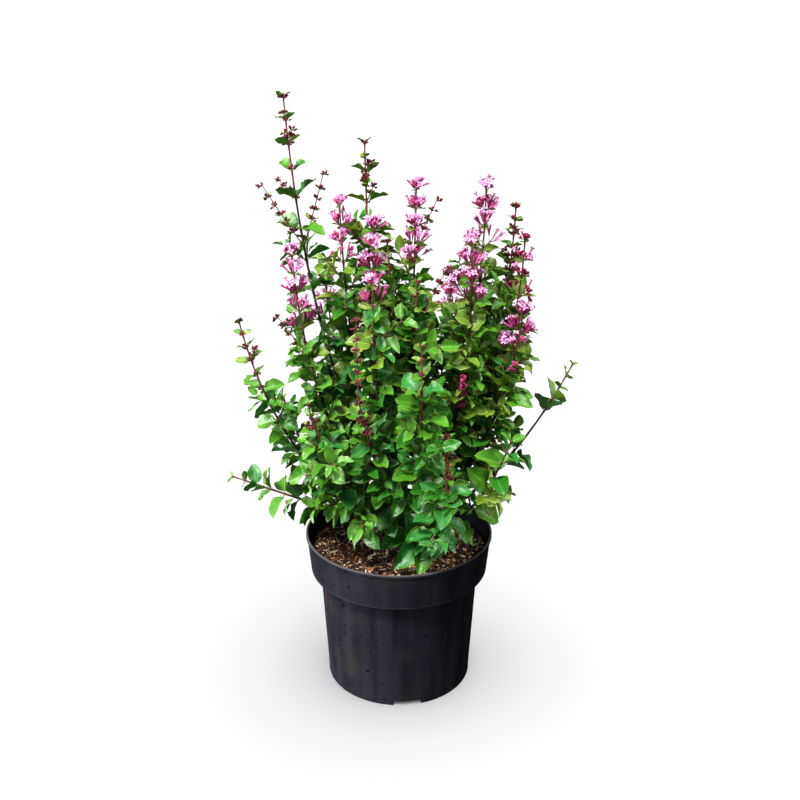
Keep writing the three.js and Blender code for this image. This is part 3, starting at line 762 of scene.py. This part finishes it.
def add_twig(growth, root, axes, around, rise, length, keys, ripe):
    """A twig of the source, with its leaves at life size and short shoots in their axils."""
    along = axes.outwards(around, rise)
    growth.stem(root, along, length, (1.0, 0.6), "young", 0.0, 6, 6)
    frame_of = Axes(along)
    shade = leaf_shade(root, ripe, *keys)
    pairs = max(1, round(length / TWIG_GAP))
    for i, share, heart in pairs_along(root, along, length, pairs):
        usual = LIFE * LEAF["full"] * TWIG["leaf"] * lerp(1.1, 0.75, share)
        for inner, turn in pair_at(i, keys):
            turn += swing(0.2, *inner, 12)
            lift = radians(SHOOT["leaf_rise"] + swing(12, *inner, 14))
            size = usual * varied(0.15, *inner, 13)
            growth.leaf(heart, frame_of, turn, size, lift, leaf_sink(heart) / 2, shade, inner)
            if draw(*inner, 20) < 0.5 and i < pairs:
                reach = 10 * varied(0.3, *inner, 21)
                add_shoot(growth, heart, frame_of, turn + 0.4, lift, reach, usual * 0.7, shade, inner)


def add_buds(growth, root, axes, size, keys):
    """A tight knot of round buds at a node of a young top, the most of them dark."""
    for k in range(KNOT["buds"]):
        inner = (*keys, k)
        direction = axes.outwards(k * BUD_TURN + swing(0.4, *inner, 1), radians(5 + 65 * draw(*inner, 2)))
        far = size * (0.2 + 0.45 * draw(*inner, 3))
        end, _ = growth.stem(root, direction, far, (0.3, 0.25), "young", 0.0, 3)
        shade = "bud" if draw(*inner, 5) < 0.4 else "dark_bud"
        length = 0.66 * size * (0.8 + 0.5 * draw(*inner, 4))
        growth.floret(end, direction, length, "bud", (shade, shade), inner)


def add_bud_twig(growth, root, axes, around, length, keys):
    """A short twig of a young top: knots of buds along it, each over a pair of tiny leaves."""
    along = axes.outwards(around, radians(62 + swing(8, *keys, 1)))
    growth.stem(root, along, length, (0.6, 0.4), "young", 0.0, 4, 3)
    frame_of = Axes(along)
    shares = (0.4, 0.7, 1.0) if length > 17 else (0.55, 1.0) if length > 9 else (1.0,)
    for i, share in enumerate(shares):
        heart = root + along * (length * share)
        add_buds(growth, heart, frame_of, KNOT["twig"] * lerp(1.1, 0.85, share), (*keys, i, 2))
        for inner, turn in pair_at(i, keys):
            growth.leaf(heart, frame_of, turn, TINY_LEAF * varied(0.3, *inner, 3), 0.5, 0.0, "young", inner)


def add_fork(growth, root, axes, around, length, keys):
    """A long bare twig of the source that carries only knots of buds, each over a pair of tiny leaves."""
    along = axes.outwards(around, radians(FORK_RISE))
    growth.stem(root, along, length, (0.65, 0.4), "young", 0.06, 6, 8)
    frame_of = Axes(along)
    nodes = np.arange(FORK_NODE["first"], length - FORK_NODE["gap"] / 2, FORK_NODE["gap"])
    for i, distance in enumerate([*nodes, length]):
        share = float(distance / length)
        heart = root + along * float(distance)
        add_buds(growth, heart, frame_of, lerp(*KNOT["fork"], share), (*keys, i, 2))
        for inner, turn in pair_at(i, keys):
            size = FORK_NODE["leaf"] * lerp(1.1, 0.4, share) * varied(0.2, *inner, 13)
            growth.leaf(heart, frame_of, turn + swing(0.2, *inner, 12), size, 0.5, 0.0, "young", inner)


def add_spike(growth, root, axes, around, length, keys):
    """A flowering twig still in bud: tiers of closed florets, smaller towards its tip."""
    along, lift = axes.outwards(around, radians(SPIKE["rise"])), 0.1
    growth.stem(root, along, length, (0.7, 0.4), "young", lift, 5, 5)
    frame_of = Axes(along)
    for i, share, heart in pairs_along(root, along, length, round(length / SPIKE["gap"]), lift):
        for k in range(SPIKE["florets"]):
            inner = (*keys, i, k)
            turn, rise = k * SPIKE["turn"] + i + swing(0.3, *inner, 1), 46 + swing(22, *inner, 2)
            size = lerp(*SPIKE["floret"], share) * varied(0.3, *inner, 3)
            shade = "bud" if draw(*inner, 4) < 0.3 else "tube"
            direction = frame_of.outwards(turn, radians(rise))
            growth.floret(heart, direction, size, "closed", (shade, shade), inner)


def add_cyme(growth, root, axes, around, keys, down, openness):
    """A bunch of florets on one side of a flowering node, on forked stalks, fanned up and out. It is larger
    and opens earlier the further down the flowering top it is."""
    along = axes.outwards(around, radians(lerp(*CYME_RISE, min(1.0, down * 3)) + swing(8, *keys, 7)))
    length = CYME["length"] * lerp(*CYME_SIZE, down) * varied(0.12, *keys, 8)
    usual = lerp(FLORET["top"], FLORET["full"], min(1.0, down * 2.5))
    spare = max(2.5, length - usual)
    end, frame_of = growth.stem(root, along, spare * 0.5, (0.5, 0.4), "young")
    branches = 3 if down < 0.08 else 5
    for branch in range(branches):
        spread = 0 if branch == 0 else radians(34 + swing(16, *keys, 50, branch))
        turn = branch * 2 * pi / (branches - 1) + swing(0.5, *keys, 51, branch)
        way = frame_of.outwards(turn, pi / 2 - spread)
        hub, hub_axes = growth.stem(end, way, spare * 0.45, (0.4, 0.3), "young", 0.0, 3)
        for k in range(3 if draw(*keys, 53, branch) < 0.3 else 2):
            inner = (*keys, 52, branch, k)
            fallen = draw(*inner, 9) < 0.35 * smoothstep(down, 0.5, 0.9)
            if fallen:
                continue
            around, tilt = k * 2.1 + swing(0.6, *inner, 2), radians(6 + 34 * draw(*inner, 1))
            direction = hub_axes.outwards(around, pi / 2 - tilt, -FLORET["upwards"])
            is_open = draw(*inner, 3) < 0.85 * openness * smoothstep(down, -0.15, 0.2)
            cyme_floret(growth, hub, direction, usual * varied(0.15, *inner, 4), is_open, openness, inner)


def cyme_floret(growth, hub, direction, size, is_open, openness, keys):
    """A floret in the colours of its age. Where most are still closed, lobes aren't pale yet."""
    if is_open:
        pale = 0.75 * openness if openness >= 0.5 else 0
        shades = "rose" if draw(*keys, 5) < 0.45 else "tube", "pale" if draw(*keys, 6) < pale else "lobe"
        growth.floret(hub, direction, size, "open", shades, keys)
        return
    in_bud = openness <= 0.2
    dark = draw(*keys, 7) < (0.85 if in_bud else 0.2)
    shade = "bud" if dark else "rose" if draw(*keys, 8) < 0.5 else "tube"
    growth.floret(hub, direction, size * (0.5 if in_bud else 0.8), "closed", (shade, shade), keys)


def add_sprig(growth, root, axes, around, length, keys):
    """A small flowering side twig: two cymes at its end, over a pair of leaves."""
    along = axes.outwards(around, radians(SPRIG["rise"]))
    end, last = growth.stem(root, along, length, (0.7, 0.5), "young", 0.2, 5, 4)
    for side in range(2):
        inner, turn = (*keys, side), pi / 4 + side * pi
        add_cyme(growth, end, last, turn, inner, 0.1, CANES[keys[0]]["blooms"])
        growth.leaf(end, last, turn + pi / 2, SPRIG["leaf"], 0.3, 0.1, "bright", inner)


# ---- Canes ----

SIDE_GROWTH = {"forks": add_fork, "sprigs": add_sprig, "spikes": add_spike}


class Cane:
    """One cane of the source, and what its nodes carry here."""

    def __init__(self, number, growth):
        self.number, self.growth, self.data = number, growth, CANES[number]
        self.curve = Curve(self.data)
        self.top, self.blooms = self.data["top"], self.data.get("blooms", 0)
        self.knots = self.data.get("knots", 1)
        self.spray_length = self.curve.length - self.data["bare"]
        self.twist = self.data.get("twist", swing(pi / 4, number))
        self.nodes = self.node_places()

    def node_places(self):
        """Distances from the tip at which the cane has a node."""
        nodes, from_tip = [], FIRST_CYME if self.blooms else NODE["first"]
        bare_from, bare_to = self.data.get("leafless", (0, 0))
        while from_tip < self.spray_length - NODE["first"]:
            if not bare_from < from_tip < bare_to:
                nodes.append(from_tip)
            share = lerp(NODE["tip_share"], 1, smoothstep(from_tip, 0, NODE["reach"]))
            usual = self.data.get("gap", NODE["gap"]) * share
            from_tip += CYME["gap"] if self.blooms and from_tip < self.top else usual
        return nodes

    def place(self, from_tip):
        return self.curve.at(1 - from_tip / self.curve.length)

    def grow(self):
        self.add_stem()
        for mark, (kind, add) in enumerate(SIDE_GROWTH.items()):
            for k, (from_tip, around, length) in enumerate(self.data.get(kind, [])):
                keys = (self.number, k, 90 + mark)
                add(self.growth, *self.place(from_tip), radians(around), length, keys)
        young_node = self.flowering_node if self.blooms else self.budding_node
        for k, from_tip in enumerate(self.nodes):
            turn = pi / 4 - self.twist + (k % 2) * (pi / 2) + swing(0.15, self.number, k)
            dress = self.leafy_node if from_tip >= self.top else young_node
            dress(k, from_tip, *self.place(from_tip), turn)
        self.add_skirt()
        if self.blooms:
            self.flowering_tip()
        else:
            self.add_knot(*self.place(3), KNOT["end"], (self.number, 63))

    def add_skirt(self):
        """Pairs of leaves on the bough's upper end."""
        for k, from_joint in enumerate(self.data.get("skirt", [])):
            heart, axes = self.place(self.spray_length + from_joint)
            for keys, around in self.sides_of(k + 200, k * 1.2):
                size = SKIRT_LEAF * varied(0.12, *keys, 4)
                shade = "cool" if draw(*keys, 5) < 0.7 else "deep"
                self.growth.leaf(heart, axes, around, size, 0.2, 0.55, shade, keys)

    def add_knot(self, heart, axes, size, keys):
        if self.knots:
            add_buds(self.growth, heart, axes, size * self.knots, keys)

    def add_stem(self):
        """The stem above the bough, dark below and redder above, swollen a little at its nodes."""
        sides, joint = 8, self.data["bare"] / self.curve.length
        centres, axes = self.curve.line(joint, 1, 2.4)
        usual = np.linspace(BOUGH["foot"] * BOUGH["end_share"], STEM_TIP, len(centres))
        last = len(centres) - 1
        knots = [((1 - d / self.curve.length - joint) / (1 - joint) * last, 0.3) for d in self.nodes]
        points, faces = tube(centres, axes, bark_radii(centres, usual, sides, 0.07, knots), sides)
        along = np.linspace(0, 1, len(centres))
        ring_of = np.minimum(faces.min(1) // sides, last)
        young = min(YOUNG_STEM, self.top) if self.blooms else YOUNG_STEM
        young_from = max(0.4, 1 - young / self.spray_length)
        shades = np.where(along[ring_of] > young_from, STEM_SHADES.index("young"), STEM_SHADES.index("cane"))
        self.growth.stems.add(points, faces, shades)

    def sides_of(self, k, turn):
        """The keys and the angle of each side of node k."""
        for side in range(2):
            keys = (self.number, k, side)
            yield keys, turn + side * pi + swing(0.08, *keys, 3)

    def flowering_tip(self):
        """The few upright florets that end a flowering cane."""
        heart, axes = self.place(5)
        for k in range(6):
            keys = (self.number, k, 65)
            direction = axes.outwards(k * BUD_TURN, radians(58 + 24 * draw(*keys, 1)))
            closed = draw(*keys, 2) > 0.6 * self.blooms
            length = FLORET["top"] * (0.7 if closed else 0.9) * lerp(0.6, 1, self.blooms)
            shade = "rose" if self.blooms > 0.2 else "bud"
            colours = (shade, shade) if closed else ("tube", "lobe")
            self.growth.floret(heart, direction, length, "closed" if closed else "open", colours, keys)

    def flowering_node(self, k, from_tip, heart, axes, turn):
        down = from_tip / self.top
        for keys, around in self.sides_of(k, turn):
            add_cyme(self.growth, heart, axes, around, keys, down, self.blooms)
            bract = lerp(*BRACT, down) * varied(0.2, *keys, 22)
            shade = leaf_shade(heart, 0.3, *keys)
            self.growth.leaf(heart, axes, around, bract, radians(20), 0.1, shade, keys)

    def budding_node(self, k, from_tip, heart, axes, turn):
        down = from_tip / self.top
        reach = min(1.0, from_tip / BUD_LEAF["reach"])
        self.add_knot(heart, axes, lerp(*KNOT["young"], down), (self.number, k, 62))
        for keys, around in self.sides_of(k, turn):
            size = lerp(BUD_LEAF["tip"], BUD_LEAF["full"], reach) * varied(0.14, *keys, 4)
            rise = radians(lerp(40, 22, down) + swing(10, *keys, 5))
            shade = "deep" if reach > 0.65 else leaf_shade(heart, reach, *keys)
            self.growth.leaf(heart, axes, around, size, rise, 0.05, shade, keys)
            if from_tip > 20 and draw(*keys, 6) < self.data.get("bud_twigs", 0.8 * self.knots):
                length = 0.26 * from_tip * varied(0.3, *keys, 23)
                turn_of = around + swing(0.3, *keys, 24)
                add_bud_twig(self.growth, heart, axes, turn_of, length, (*keys, 25))

    def leafy_node(self, k, from_tip, heart, axes, turn):
        first_young = self.top - LEAF["reach"] / 2 if self.blooms else -20
        ripe = smoothstep(from_tip, first_young, self.top + 40)
        shoots = SHOOT["share"] * self.data.get("shoots", 1) * (0.4 + 0.6 * ripe)
        if from_tip < self.data.get("knotted", 0):
            self.add_knot(heart, axes, KNOT["leafy"], (self.number, k, 64))
        for keys, around in self.sides_of(k, turn):
            size = LIFE * lerp(LEAF["tip"], LEAF["full"], ripe) * varied(0.14, *keys, 4)
            rise = radians(lerp(LEAF["tip_rise"], LEAF_RISE, ripe) + swing(14, *keys, 5))
            shade = leaf_shade(heart, ripe, self.number, k)
            self.growth.leaf(heart, axes, around, size, rise, leaf_sink(heart), shade, keys)
            if from_tip > max(self.top, 60) and draw(*keys, 6) < self.data.get("twigs", TWIG["share"]):
                lift = radians(TWIG["rise"] + swing(10, *keys, 10))
                reach = TWIG["length"] * varied(0.25, *keys, 11)
                add_twig(self.growth, heart, axes, around + 0.3, lift, reach, keys, ripe)
            elif from_tip > self.top + 14 and draw(*keys, 15) < shoots:
                lift = radians(46 + swing(16, *keys, 17))
                reach = SHOOT["length"] * lerp(0.5, 1.15, ripe) * varied(0.35, *keys, 16)
                size = SHOOT["leaf"] * lerp(0.65, 1, ripe)
                shade, turn_of = leaf_shade(heart, ripe, *keys), around + swing(0.5, *keys, 18)
                add_shoot(self.growth, heart, axes, turn_of, lift, reach, size, shade, (*keys, 19))
        if "gap" not in self.data and draw(self.number, k, 71) < 1.6 * shoots:
            self.between_pair(k, min(from_tip + 0.5 * NODE["gap"], self.spray_length - 2), turn, ripe)

    def between_pair(self, k, from_tip, turn, ripe):
        """A smaller pair of leaves between two nodes of the source."""
        heart, axes = self.place(from_tip)
        for side in range(2):
            keys = (self.number, k, side, 70)
            around = turn + pi / 4 + side * pi + swing(0.4, *keys, 3)
            size = BETWEEN * LIFE * lerp(LEAF["tip"], LEAF["full"], ripe) * varied(0.2, *keys, 4)
            rise = radians(lerp(44, LEAF_RISE + 6, ripe) + swing(18, *keys, 5))
            shade = leaf_shade(heart, ripe, *keys)
            self.growth.leaf(heart, axes, around, size, rise, leaf_sink(heart), shade, keys)


# ---- Leaves as meshes ----

# Rows run from a leaf's base to just under its tip, each with its share of the greatest half width. Columns
# run across it: its rim, two to the rib, the rib's two edges, and the same again. A column is a share of the
# way from the rib's edge to the leaf's. The rim is painted a step lighter, a painted highlight where light
# catches and shines through the leaf's edge.
ROWS = np.array([0, 0.06, 0.16, 0.29, 0.44, 0.6, 0.76, 0.9])
HALF_WIDTH = np.array([0.2, 0.56, 0.86, 1.0, 1.0, 0.92, 0.72, 0.4])
MIDWAY = 0.45
COLUMNS = np.array([1, BLADE["rim"], MIDWAY, 0, 0, MIDWAY, BLADE["rim"], 1])
SIGNS = np.array([-1, -1, -1, -1, 1, 1, 1, 1])
PARTS = ["rim", "blade", "blade", "rib", "blade", "blade", "rim"]
# Each blade colour's lighter rim colour: a painted highlight along the leaf's edge.
PAINTED_RIM_LIGHT = {"deep": "bright", "green": "young", "bright": "lime", "young": "lime", "lime": "lime",
             "cool": "bright"}


def leaf_faces():
    """Triangles of one leaf, and for each which part of it it belongs to."""
    count, last, faces, parts = len(COLUMNS), len(ROWS) - 1, [], []
    for row in range(last):
        for column, part in enumerate(PARTS):
            a = row * count + column
            faces += [(a, a + 1, a + 1 + count), (a, a + 1 + count, a + count)]
            parts += [part, part]
    for column, part in enumerate(PARTS):
        faces.append((last * count + column, last * count + column + 1, (last + 1) * count))
        parts.append(part)
    return np.array(faces), np.array(parts)


LEAF_FACES, LEAF_PARTS = leaf_faces()


def unit(vectors):
    return vectors / np.linalg.norm(vectors, axis=1)[:, None]


def blade_points(leaves, lift):
    """Every leaf's points: a pointed oval, folded at its rib, arched to its tip and waved at its edges."""
    roots, along, back = (np.array([tuple(leaf[i]) for leaf in leaves]) for i in range(3))
    along = unit(along + lift[:, None] * np.array([0, 0, 1.0]))
    side = unit(np.cross(along, back))
    back = np.cross(side, along)
    length, stalk = (np.array([leaf[i] for leaf in leaves])[:, None, None] for i in (3, 4))
    dice = np.array([[draw(*leaf[6], 80 + i) for i in range(7)] for leaf in leaves])[:, :, None, None]
    broad = lerp(BLADE["slim"], BLADE["broad"], np.clip((length - 10) / 24, 0, 1))
    width = 0.5 * broad * length * (0.9 + 0.2 * dice[:, 0])
    fold = np.radians(7 + 24 * dice[:, 1])
    arch = 0.04 + 0.28 * dice[:, 2] ** 1.3
    wave, phase = 0.1 + 0.24 * dice[:, 3], dice[:, 4] * 2 * pi
    cup = 0.05 + 0.26 * dice[:, 6]
    twist = (dice[:, 5] - 0.5) * 0.7
    rows = np.append(ROWS, 1.0)[None, :, None]
    half = np.append(HALF_WIDTH, 0.0)[None, :, None] * width
    rib = np.minimum(BLADE["rib"] * (1 - 0.75 * rows) * (length / 30), half * 0.5)
    across = SIGNS * (rib + COLUMNS * (half - rib))
    flutter = np.sin(rows * 2 * pi * 1.7 + phase + SIGNS * 0.9)
    odd_row = np.arange(len(ROWS) + 1)[None, :, None] % 2
    quilt = np.where(COLUMNS == MIDWAY, 1, 0) * np.where(odd_row, 0.03, -0.018)
    high = np.abs(across) * np.tan(fold) + half * COLUMNS ** 2 * (wave * flutter + cup) + quilt * length
    high = high - arch * length * rows ** 2
    across = across * np.cos(fold)
    turn = twist * rows
    x = across * np.cos(turn) + high * np.sin(turn)
    z = high * np.cos(turn) - across * np.sin(turn)
    y = length * rows * (1 - 0.35 * arch * rows) + stalk + 0 * x
    axes = [vectors[:, None, None, :] for vectors in (side, along, back)]
    grid = roots[:, None, None, :] + x[..., None] * axes[0] + y[..., None] * axes[1] + z[..., None] * axes[2]
    body = grid[:, :-1].reshape(len(leaves), -1, 3)
    return np.concatenate([body, grid[:, -1, 3:5].mean(1, keepdims=True)], 1), along


def touches_pot(points):
    """For each leaf, whether a point of it is in the pot's wall or in the soil, or within 1.5 mm."""
    near = 1.5
    radius, z = np.hypot(points[..., 0], points[..., 1]), points[..., 2]
    outside = outline_at(POT_OUTSIDE, z) + near
    in_wall = (z < POT["height"] + 1) & (radius > outline_at(POT_INSIDE, z) - near) & (radius < outside)
    in_soil = (z < SOIL["crown"] + near) & (radius < outside)
    return (in_wall | in_soil).any(1)


def leaf_piece(name, growth):
    """The group's leaves. One that would touch the pot or the soil is lifted, or left out if that fails."""
    lift = np.zeros(len(growth.leaves))
    points, along = blade_points(growth.leaves, lift)
    for _ in range(5):
        lift[touches_pot(points)] += 0.3
        points, along = blade_points(growth.leaves, lift)
    clear = np.flatnonzero(~touches_pot(points))
    leaves, points, along = [growth.leaves[i] for i in clear], points[clear], along[clear]
    faces = (LEAF_FACES[None] + np.arange(len(leaves))[:, None, None] * points.shape[1]).reshape(-1, 3)
    # The rims take the lighter colours, a painted highlight along each leaf's edge.
    lit_rims = np.array([LEAF_SHADES.index(PAINTED_RIM_LIGHT[shade]) for shade in LEAF_SHADES])
    blade = np.array([leaf[5] for leaf in leaves])[:, None]
    shades = np.where(LEAF_PARTS[None] == "rim", lit_rims[blade], blade)
    shades = np.where(LEAF_PARTS[None] == "rib", len(LEAF_SHADES) + blade, shades)
    for (root, _, _, length, stalk, _, _), way in zip(leaves, along):
        thick = 0.3 + 0.01 * length
        growth.stem(root, Vector(way), stalk + 0.4, (thick, thick * 0.8), "green", 0.0, 3)
    return make_piece(name, points.reshape(-1, 3), faces, leaf_materials, shades.ravel())


def bloom_piece(name, growth):
    batch = Batch()
    for root, (side, along, back), length, kind, colours, keys in growth.florets:
        variant = OPEN[int(draw(*keys, 33) * len(OPEN))]
        template, faces, parts = {"open": variant, "closed": CLOSED, "bud": ROUND_BUD}[kind]
        wide = length * 1.1 if kind == "bud" else ACROSS
        shades = np.array([BLOOM_SHADES.index(colour) for colour in colours])
        frame_of = np.array([side * wide, along * length, back * wide])
        batch.add(template @ frame_of + np.array(root), faces, shades[parts])
    return batch.piece(name, bloom_materials)


# ---- Stool and boughs ----

def make_stool():
    """The woody foot that the boughs leave, gnarled and a little sunk in the soil."""
    sides, gap = 26, 1.1
    heights = np.arange(-3, STOOL["height"], gap)
    radii, levels = zip(*STOOL["profile"])
    centres = [Vector((STOOL["lean"] * z, 0, STOOL["base"] + z)) for z in heights]
    usual = [max(0.6, float(np.interp(max(z, 0), levels, radii))) for z in heights]
    points, faces = tube(centres, [Axes(UP)] * len(centres), bark_radii(centres, usual, sides, 0.12), sides)
    piece = make_piece("stool_bark", points, faces, [bark_material()])
    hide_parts("stool")
    return piece, "bark"


def make_boughs():
    sides, overlap = 12, 0.3
    batch = Batch()
    for cane in CANES:
        curve = Curve(cane)
        centres, axes = curve.line(0, (cane["bare"] + overlap) / curve.length, 1.4)
        usual = np.linspace(BOUGH["foot"], BOUGH["foot"] * BOUGH["end_share"], len(centres))
        knots = [(len(centres) * share, 0.4) for share in (0.45, 0.8)]
        points, faces = tube(centres, axes, bark_radii(centres, usual, sides, 0.13, knots), sides)
        batch.add(points, faces, 0)
    piece = batch.piece("boughs_bark", [bark_material()])
    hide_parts(*[f"bough_{cane['name']}" for cane in CANES])
    return piece, "bark"


# ---- Putting it together ----

made = [make_pot(), make_soil(), make_chips(), make_stool(), make_boughs()]
numbers = {cane["name"]: number for number, cane in enumerate(CANES)}
for group, names in GROUPS.items():
    growth = Growth()
    for name in names:
        Cane(numbers[name], growth).grow()
    slot = "flowering_spray" if group.startswith("bloom") else "leafy_spray"
    leaves = leaf_piece(f"leaves_{group}", growth)
    twigs = growth.stems.piece(f"twigs_{group}", stem_materials)
    blossom = bloom_piece(f"blossom_{group}", growth)
    sprays = [f"spray_{name}" for name in names]
    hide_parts(*sprays)
    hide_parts(*sprays)
    made += [(leaves, slot), (twigs, slot), (blossom, slot)]
for piece, slot in made:
    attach(piece, "root")

# ---- Floor, light and camera ----


def make_floor():
    """The pale floor. The light that it would throw back on the plant and the pot is left out."""
    finish = Finish("floor_paper", (252, 252, 252), 0.9, 0.0)
    finish.bump(finish.noise(300), 0.05)
    reach = 400000
    points = [(-reach, -reach, 0), (reach, -reach, 0), (reach, reach, 0), (-reach, reach, 0)]
    floor = make_piece("floor", points, [(0, 1, 2), (0, 2, 3)], [finish.material], smooth=False)
    floor.visible_diffuse = False
    floor.visible_glossy = False
    return floor


def add_sun(name, azimuth, elevation, softness, strength, colour, listed, rule):
    """A lamp far off, for the listed pieces alone or for all but those. Azimuth 0 is the front."""
    data = bpy.data.lights.new(name, "SUN")
    data.angle, data.energy, data.color = radians(softness), strength, colour
    lamp = bpy.data.objects.new(name, data)
    lamp.rotation_euler = (radians(90 - elevation), 0, radians(azimuth))
    bpy.context.scene.collection.objects.link(lamp)
    pieces = bpy.data.collections.new(f"{name}_pieces")
    for piece in listed:
        pieces.objects.link(piece)
    lamp.light_linking.receiver_collection = pieces
    for entry in pieces.collection_objects:
        entry.light_linking.link_state = rule


def make_world():
    """A studio with a darker wall on the right. The camera itself sees it white."""
    world = bpy.data.worlds.new("studio")
    bpy.context.scene.world = world
    world.use_nodes = True
    studio = Nodes(world.node_tree)
    to_right = studio.node("SeparateXYZ", {0: studio.node("TexCoord", {}, "Generated")}, "X")
    wall = studio.ranged(to_right, -1, 1, 0.5, 0.08)
    seen = studio.node("LightPath", {}, "Is Camera Ray")
    background = studio.tree.nodes["Background"].inputs
    studio.put((0.98, 0.99, 1.0, 1.0), background["Color"])
    studio.put(studio.ranged(seen, 0, 1, wall, 1), background["Strength"])


floor = make_floor()
pot = made[0][0]
WHITE = (1.0, 1.0, 1.0)
add_sun("key", -36, 60, 12, 4.7, (1.0, 0.985, 0.95), [floor], "EXCLUDE")
add_sun("side", -88, 10, 30, 5.8, (1.0, 0.99, 0.97), [floor], "EXCLUDE")
add_sun("ceiling", -10, 70, 110, 0.5, WHITE, [floor], "EXCLUDE")
add_sun("fill", 80, 44, 40, 2.5, (1.0, 1.0, 0.97), [floor, pot], "EXCLUDE")
add_sun("rear", 170, 35, 60, 2.2, WHITE, [pot], "INCLUDE")
add_sun("dome", 60, 80, 110, 2.95, WHITE, [floor], "INCLUDE")
make_world()

CAMERA = {"place": (0, -0.968, 0.679), "pitch": 68.8, "lens": 47.8, "shift": 0.0014}
lens = bpy.data.cameras.new("camera")
lens.lens, lens.shift_x = CAMERA["lens"], CAMERA["shift"]
camera = bpy.data.objects.new("camera", lens)
camera.location = CAMERA["place"]
camera.rotation_euler = (radians(CAMERA["pitch"]), 0, 0)
bpy.context.scene.collection.objects.link(camera)
bpy.context.scene.camera = camera
bpy.context.scene.view_settings.view_transform = "Standard"
